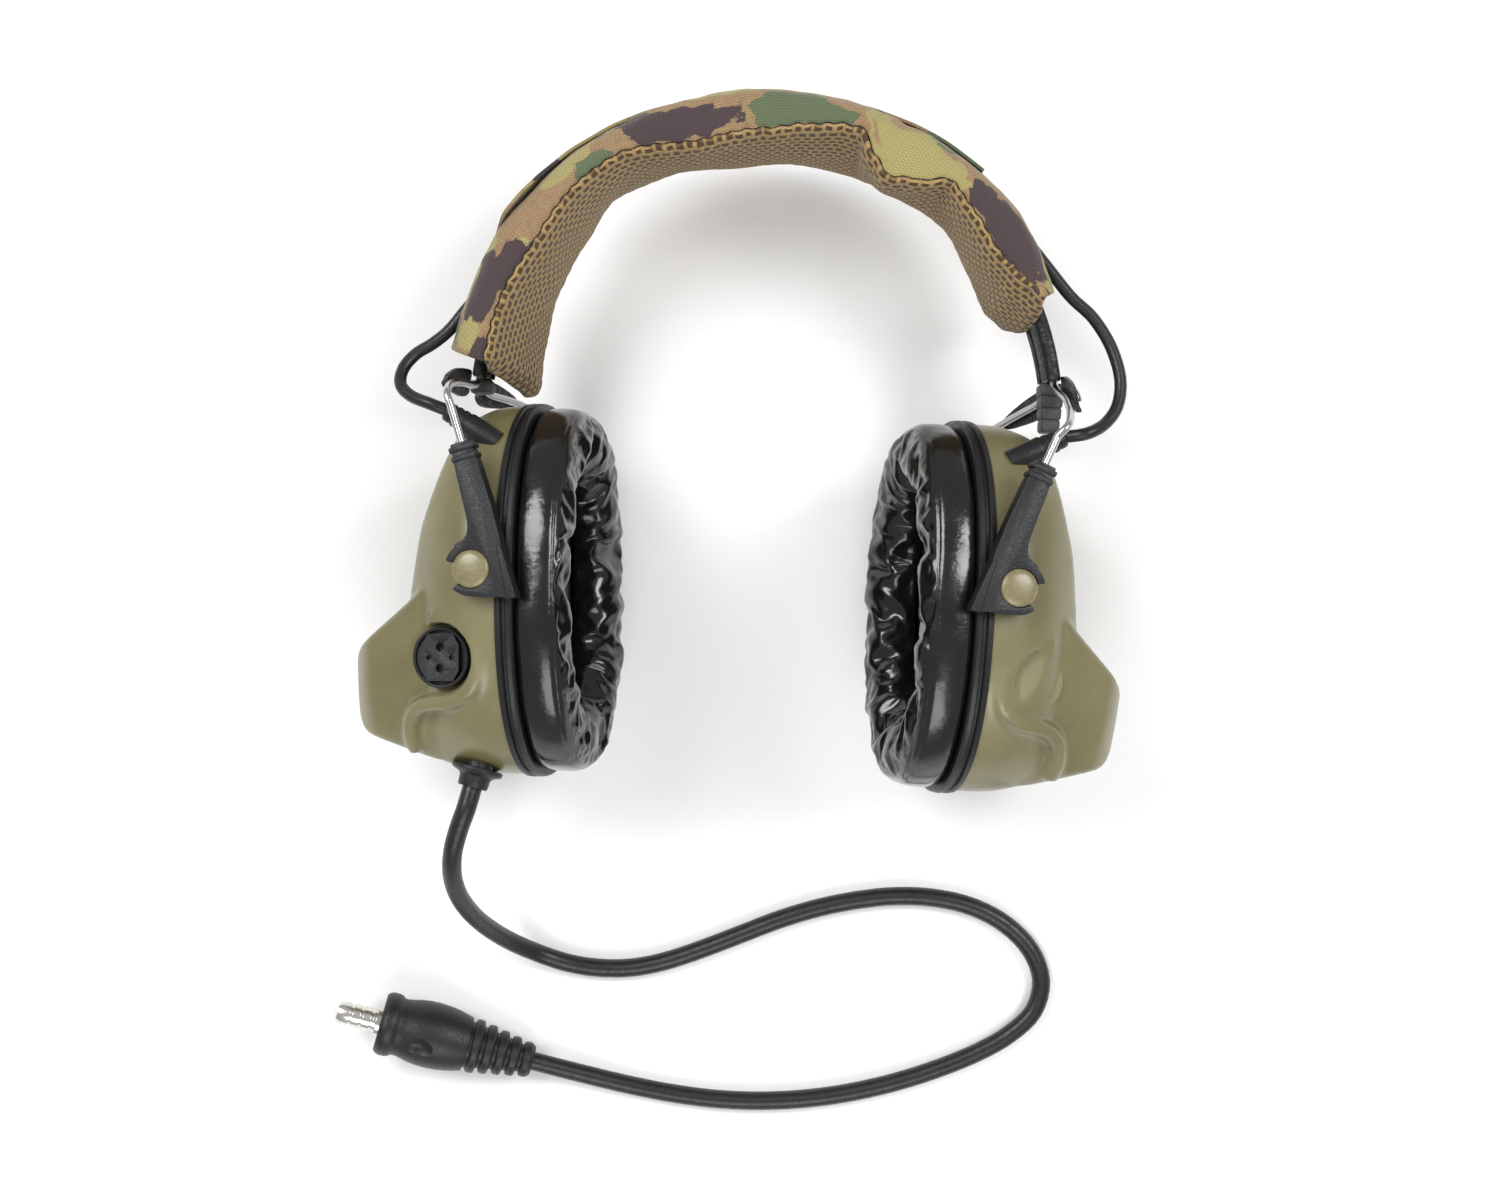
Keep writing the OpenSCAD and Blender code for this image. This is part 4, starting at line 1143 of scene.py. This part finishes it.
cells = add(mesh, "TexBrick", Scale=1, Mortar_Size=0.085, Mortar_Smooth=1, Brick_Width=0.29, Row_Height=0.27)
cells.offset = 0.5
link(mesh, mesh_shift, cells, 0, "Vector")
yarn = add(mesh, "TexNoise", Scale=26, Detail=3, Roughness=0.6)
link(mesh, mesh_uv, yarn, 0, "Vector")
# Painted shade: the mesh holes, which the cells' bump sets low, are coloured dark brown.
holes_painted_shade = ramp(mesh, cells, ((0.12, (0.070, 0.038, 0.014)), (0.42, (0.40, 0.262, 0.100))), "Fac")
yarn_tone = add(mesh, "Mix", data_type="RGBA", blend_type="MULTIPLY")
yarn_tone.inputs[0].default_value = 0.6
link(mesh, holes_painted_shade, yarn_tone, 0, 6)
link(mesh, ramp(mesh, yarn, ((0.35, 0.62), (0.65, 1.0))), yarn_tone, 0, 7)
feed(mesh, yarn_tone, "Base Color", 2)
emboss(mesh, cells, 0.9, 0.0008, "Fac")
hang(pad, 1.6, -1, mesh, "cover_pad", 60)

# ---------------------------------------------------------------------------
# The cover's flap: a strip of the same twill laid over the crown, which closes the
# sleeve with a hook-and-loop strip. Its right end is cut raw and frays.


def flap_section(angle):
    front = along(((58, 9), (53, 20), (30, 13), (5, 4), (-10, 6), (-42, 15)), angle)
    rise = along(((58, 91.2), (53, 91.8), (30, 91.9), (5, 91.6), (-30, 91.7), (-42, 91.2)), angle)
    return [Vector((rise - 0.5 * (1 - k / 12) ** 2, front + (-10 - front) * k / 12, 0)) for k in range(13)]


def flap_ripple(where, edge, spot):
    return 0.35 * noise.noise(Vector((where.x * 0.12, where.y * 0.1, 21)))


FLAP_LEFT, FLAP_RIGHT, FLAP_COLUMNS = 58, -42, 14
flap = lattice("cover_flap_cloth", cloth_rows(
    flap_section, lambda v: FLAP_LEFT, lambda v: FLAP_RIGHT, FLAP_COLUMNS, flap_ripple))
shade_uv(flap, FLAP_COLUMNS, 16, 2.3)
print_on(flap, FLAP_COLUMNS, FLAP_LEFT, FLAP_LEFT - FLAP_RIGHT, 0.3, 0.3)
hang(flap, 0.8, 0, camo, "cover_flap", 50, False)

# ---------------------------------------------------------------------------
# The link cable: a 3.5 mm rubber cable from cup to cup. It runs inside the cloth
# cover, leaves it on both sides, and loops down to a boot at the top of each cup.

LOOPS = (
    [(-76.2, 85.5, 14), (-80.5, 80.3, 14), (-84.6, 75.4, 14), (-89, 71.8, 14.3), (-93.6, 68.8, 15),
     (-96.8, 64.6, 16.6), (-97.2, 60, 18.8), (-94, 56.6, 21.2), (-88.6, 54.3, 23.6)],
    [(76.9, 101.5, 14), (83.6, 93, 14), (90, 85, 14), (96.2, 79, 14.2), (101, 71, 15),
     (103.4, 62, 16.5), (102.4, 54.3, 18.5), (98.6, 49, 21), (93.2, 46, 24)])
BOOT_AT = Vector((-2.7, 37.5, 25))
BOOT_TURN, BOOT_RISE, BOOT_END = math.radians(147), math.radians(5), 13.4
boot_way = Vector((math.cos(BOOT_TURN) * math.cos(BOOT_RISE), math.sin(BOOT_TURN) * math.cos(BOOT_RISE),
                   math.sin(BOOT_RISE)))
SPAN_STEPS, MEETING = 8, 5
dress(jacket, "cable_jacket", "link_run")
for side in (0, 1):
    boot_tip = cup(side, LEAN[side]) @ (BOOT_AT + (BOOT_END - 1) * boot_way)
    spots = [lay(p) for p in LOOPS[side]] + [boot_tip]
    whole = smooth_line(spots, SPAN_STEPS)
    half = MEETING * SPAN_STEPS
    for word, stretch, bodies in (("upper", whole[:half + 1], ("headband", "arms_")),
                                  ("lower", whole[half:], ("arms_", "cup_"))):
        loop = hose("link_cable_" + SIDES[side] + "_" + word, stretch, 1.75 * MM, 20, False)
        choose(loop)
        bpy.ops.object.convert(target="MESH")
        finish(settle(bpy.context.object, Matrix.Identity(4)), jacket, None,
               ["link_loop_" + SIDES[side] + "_" + word], 60)
        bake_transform(bpy.context.object)

# ---------------------------------------------------------------------------
# The cable boots and the lead's gland: black rubber strain reliefs, moulded on the
# cables and snapped into the shells.


def boot_frame(at, turn, rise):
    return (Matrix.Translation(at) @ Matrix.Rotation(turn, 4, "Z")
            @ Matrix.Rotation(math.pi / 2 - rise, 4, "Y"))


for side in (0, 1):
    boot = turned("link_boot_sleeve_" + SIDES[side], [
        (1, -5), (3.4, -5), (3.4, 4.6), (3.25, 5.2), (2.95, 5.4), (2.95, 6.0), (3.15, 6.2), (3.1, 7.2),
        (2.8, 7.4), (2.8, 8.0), (3.0, 8.2), (2.95, 9.2), (2.65, 9.4), (2.65, 10.0), (2.8, 10.2), (2.7, 11.6),
        (2.45, 11.95), (0.5, 11.95)], 40)
    finish(settle(boot, cup(side, LEAN[side]) @ boot_frame(BOOT_AT, BOOT_TURN, BOOT_RISE)), rubber,
           "cup_" + SIDES[side], ["link_boot_" + SIDES[side]], 34)

gland = turned("lead_gland_sleeve", [
    (1, -5), (4, -5), (4, 0.1), (7.0, 0.1), (7.3, 0.4), (7.25, 1.2), (6.9, 1.6), (5.2, 2.2), (4.6, 2.7),
    (4.4, 3.4), (4.3, 5.4), (4.0, 5.95), (0.5, 6)], 56)
gland_place = (Matrix.Translation(GLAND_AT) @ Matrix.Rotation(GLAND_TURN, 4, "Z")
               @ Matrix.Rotation(math.pi / 2 - GLAND_RISE, 4, "X"))
finish(settle(gland, cup(0) @ gland_place), rubber, "cup_left", ["lead_gland"], 34)

# ---------------------------------------------------------------------------
# The boom microphone's socket: a round liner with a moulded insert block in the
# left shell's pocket, with two holes and two contacts. The liner's rim gets lower
# outboard, as the shell does. On the right a blank plate closes the place from inside.

liner_ring = turned("liner", [(8.4, 31.15), (8.4, 35.4), (8.1, 35.8), (7.6, 35.6), (7.5, 31.9),
                              (7.5, 31.15)], 56)
RIM_FOOT, RIM_LOW, RIM_SLOPE = 31.5, 0.2, 0.047
for vertex in liner_ring.data.vertices:
    if vertex.co.z > RIM_FOOT + 1:
        share = RIM_LOW + RIM_SLOPE * (vertex.co.x + 8.5)
        vertex.co.z = RIM_FOOT + (vertex.co.z - RIM_FOOT) * share
floor_plate = turned("plate", [(0.3, 31.1), (8.0, 31.1), (8.0, 31.7), (0.3, 31.75)], 48)
block = slab("block", [(x, y) for x, y in ((-5.2, -3.6), (-3.6, -6.4), (3.6, -6.4), (5.2, -3.6), (5.2, 3.6),
                                           (3.6, 6.4), (-3.6, 6.4), (-5.2, 3.6))], 31.2, 34.2)
for y in (-2.9, 2.9):
    cut(block, drill(0, y, 35, 1.25, -3), solver="MANIFOLD")
for x in (-3.2, 3.2):
    cut(block, drill(x, 0, 35, 0.75, -2), solver="MANIFOLD")
soften(block, 0.35)
socket = fuse("boom_socket_insert", [floor_plate, block, liner_ring])
socket.data.transform(Matrix.Translation((POCKET[0], POCKET[1], 0)))
finish(settle(socket, cup(0)), nylon, "cup_left", ["mic_socket"], 34)

blank = turned("blank", [(0.3, 28.0), (8.3, 28.0), (8.5, 28.2), (8.5, 30.0), (8.3, 30.4), (0.3, 30.5)], 56)
blank.data.transform(Matrix.Translation((POCKET[0], POCKET[1], 0)))
blank.name = "socket_blank_plate"
finish(settle(blank, cup(1, LEAN[1])), olive, "cup_right", ["socket_blank"], 34)

# ---------------------------------------------------------------------------
# The battery caps, microphone caps and push buttons: black moulded plastic. A cap
# has finger ribs round its rim and a coin slot, and its quarter turn frees it.

for side in (0, 1):
    cap = turned("cap", [(0.3, -30.4), (6.6, -30.4), (7.2, -30.2), (7.5, -29.8), (7.5, -26.6), (7.2, -26.4),
                         (6.0, -26.4), (6.0, -23.2), (0.3, -23.2)], 72)
    cut(cap, slab("slot", [(-6, -0.8), (6, -0.8), (6, 0.8), (-6, 0.8)], -32, -29.4), solver="MANIFOLD")
    soften(cap, 0.15, 2)
    knurls = []
    for i in range(24):
        a = 2 * math.pi * i / 24
        rib = slab("rib", [(7.1, -0.35), (7.8, -0.25), (7.8, 0.25), (7.1, 0.35)], -30.0, -26.8)
        rib.data.transform(Matrix.Rotation(a, 4, "Z"))
        knurls.append(rib)
    cap = fuse("battery_cap_lid_" + SIDES[side], [cap] + knurls)
    cap.data.transform(Matrix.Translation((-30, -33, 0)))
    finish(settle(cap, cup(side, LEAN[side])), nylon, "battery_cap_" + SIDES[side],
           ["battery_cap_" + SIDES[side]], 34)

    mic = turned("mic", [(0.3, -3), (3.9, -3), (3.9, 0), (4.5, 0.05), (4.6, 0.3), (4.6, 1.9), (4.3, 2.5),
                         (3.6, 2.8), (0.3, 2.8)], 48)
    for y in (-2, 0, 2):
        slot = slab("slot", [(-3, y - 0.4), (3, y - 0.4), (3, y + 0.4), (-3, y + 0.4)], 1.6, 4)
        cut(mic, slot, solver="MANIFOLD")
    mic.data.transform(Matrix.Translation((-43.5, -36.3, 0)) @ Matrix.Rotation(math.radians(-90), 4, "Y"))
    mic.name = "mic_cap_grille_" + SIDES[side]
    on_cup(mic, side, nylon, "mic_cap", 34, LEAN[side])

for node, y, z in (("power_button", -14, 38.7), ("volume_up_button", -24, 37.4),
                   ("volume_down_button", -34, 34.5)):
    key = turned(node + "_key", [(0.3, 5 - z), (3.2, 5 - z), (3.2, -z - 0.4), (3.05, -z - 0.9),
                                 (2.6, -z - 1.15), (1.6, -z - 0.95), (0.3, -z - 0.85)], 48)
    key.data.transform(Matrix.Translation((-12, y, 0)))
    finish(settle(key, cup(0)), rubber, node, [node], 40)
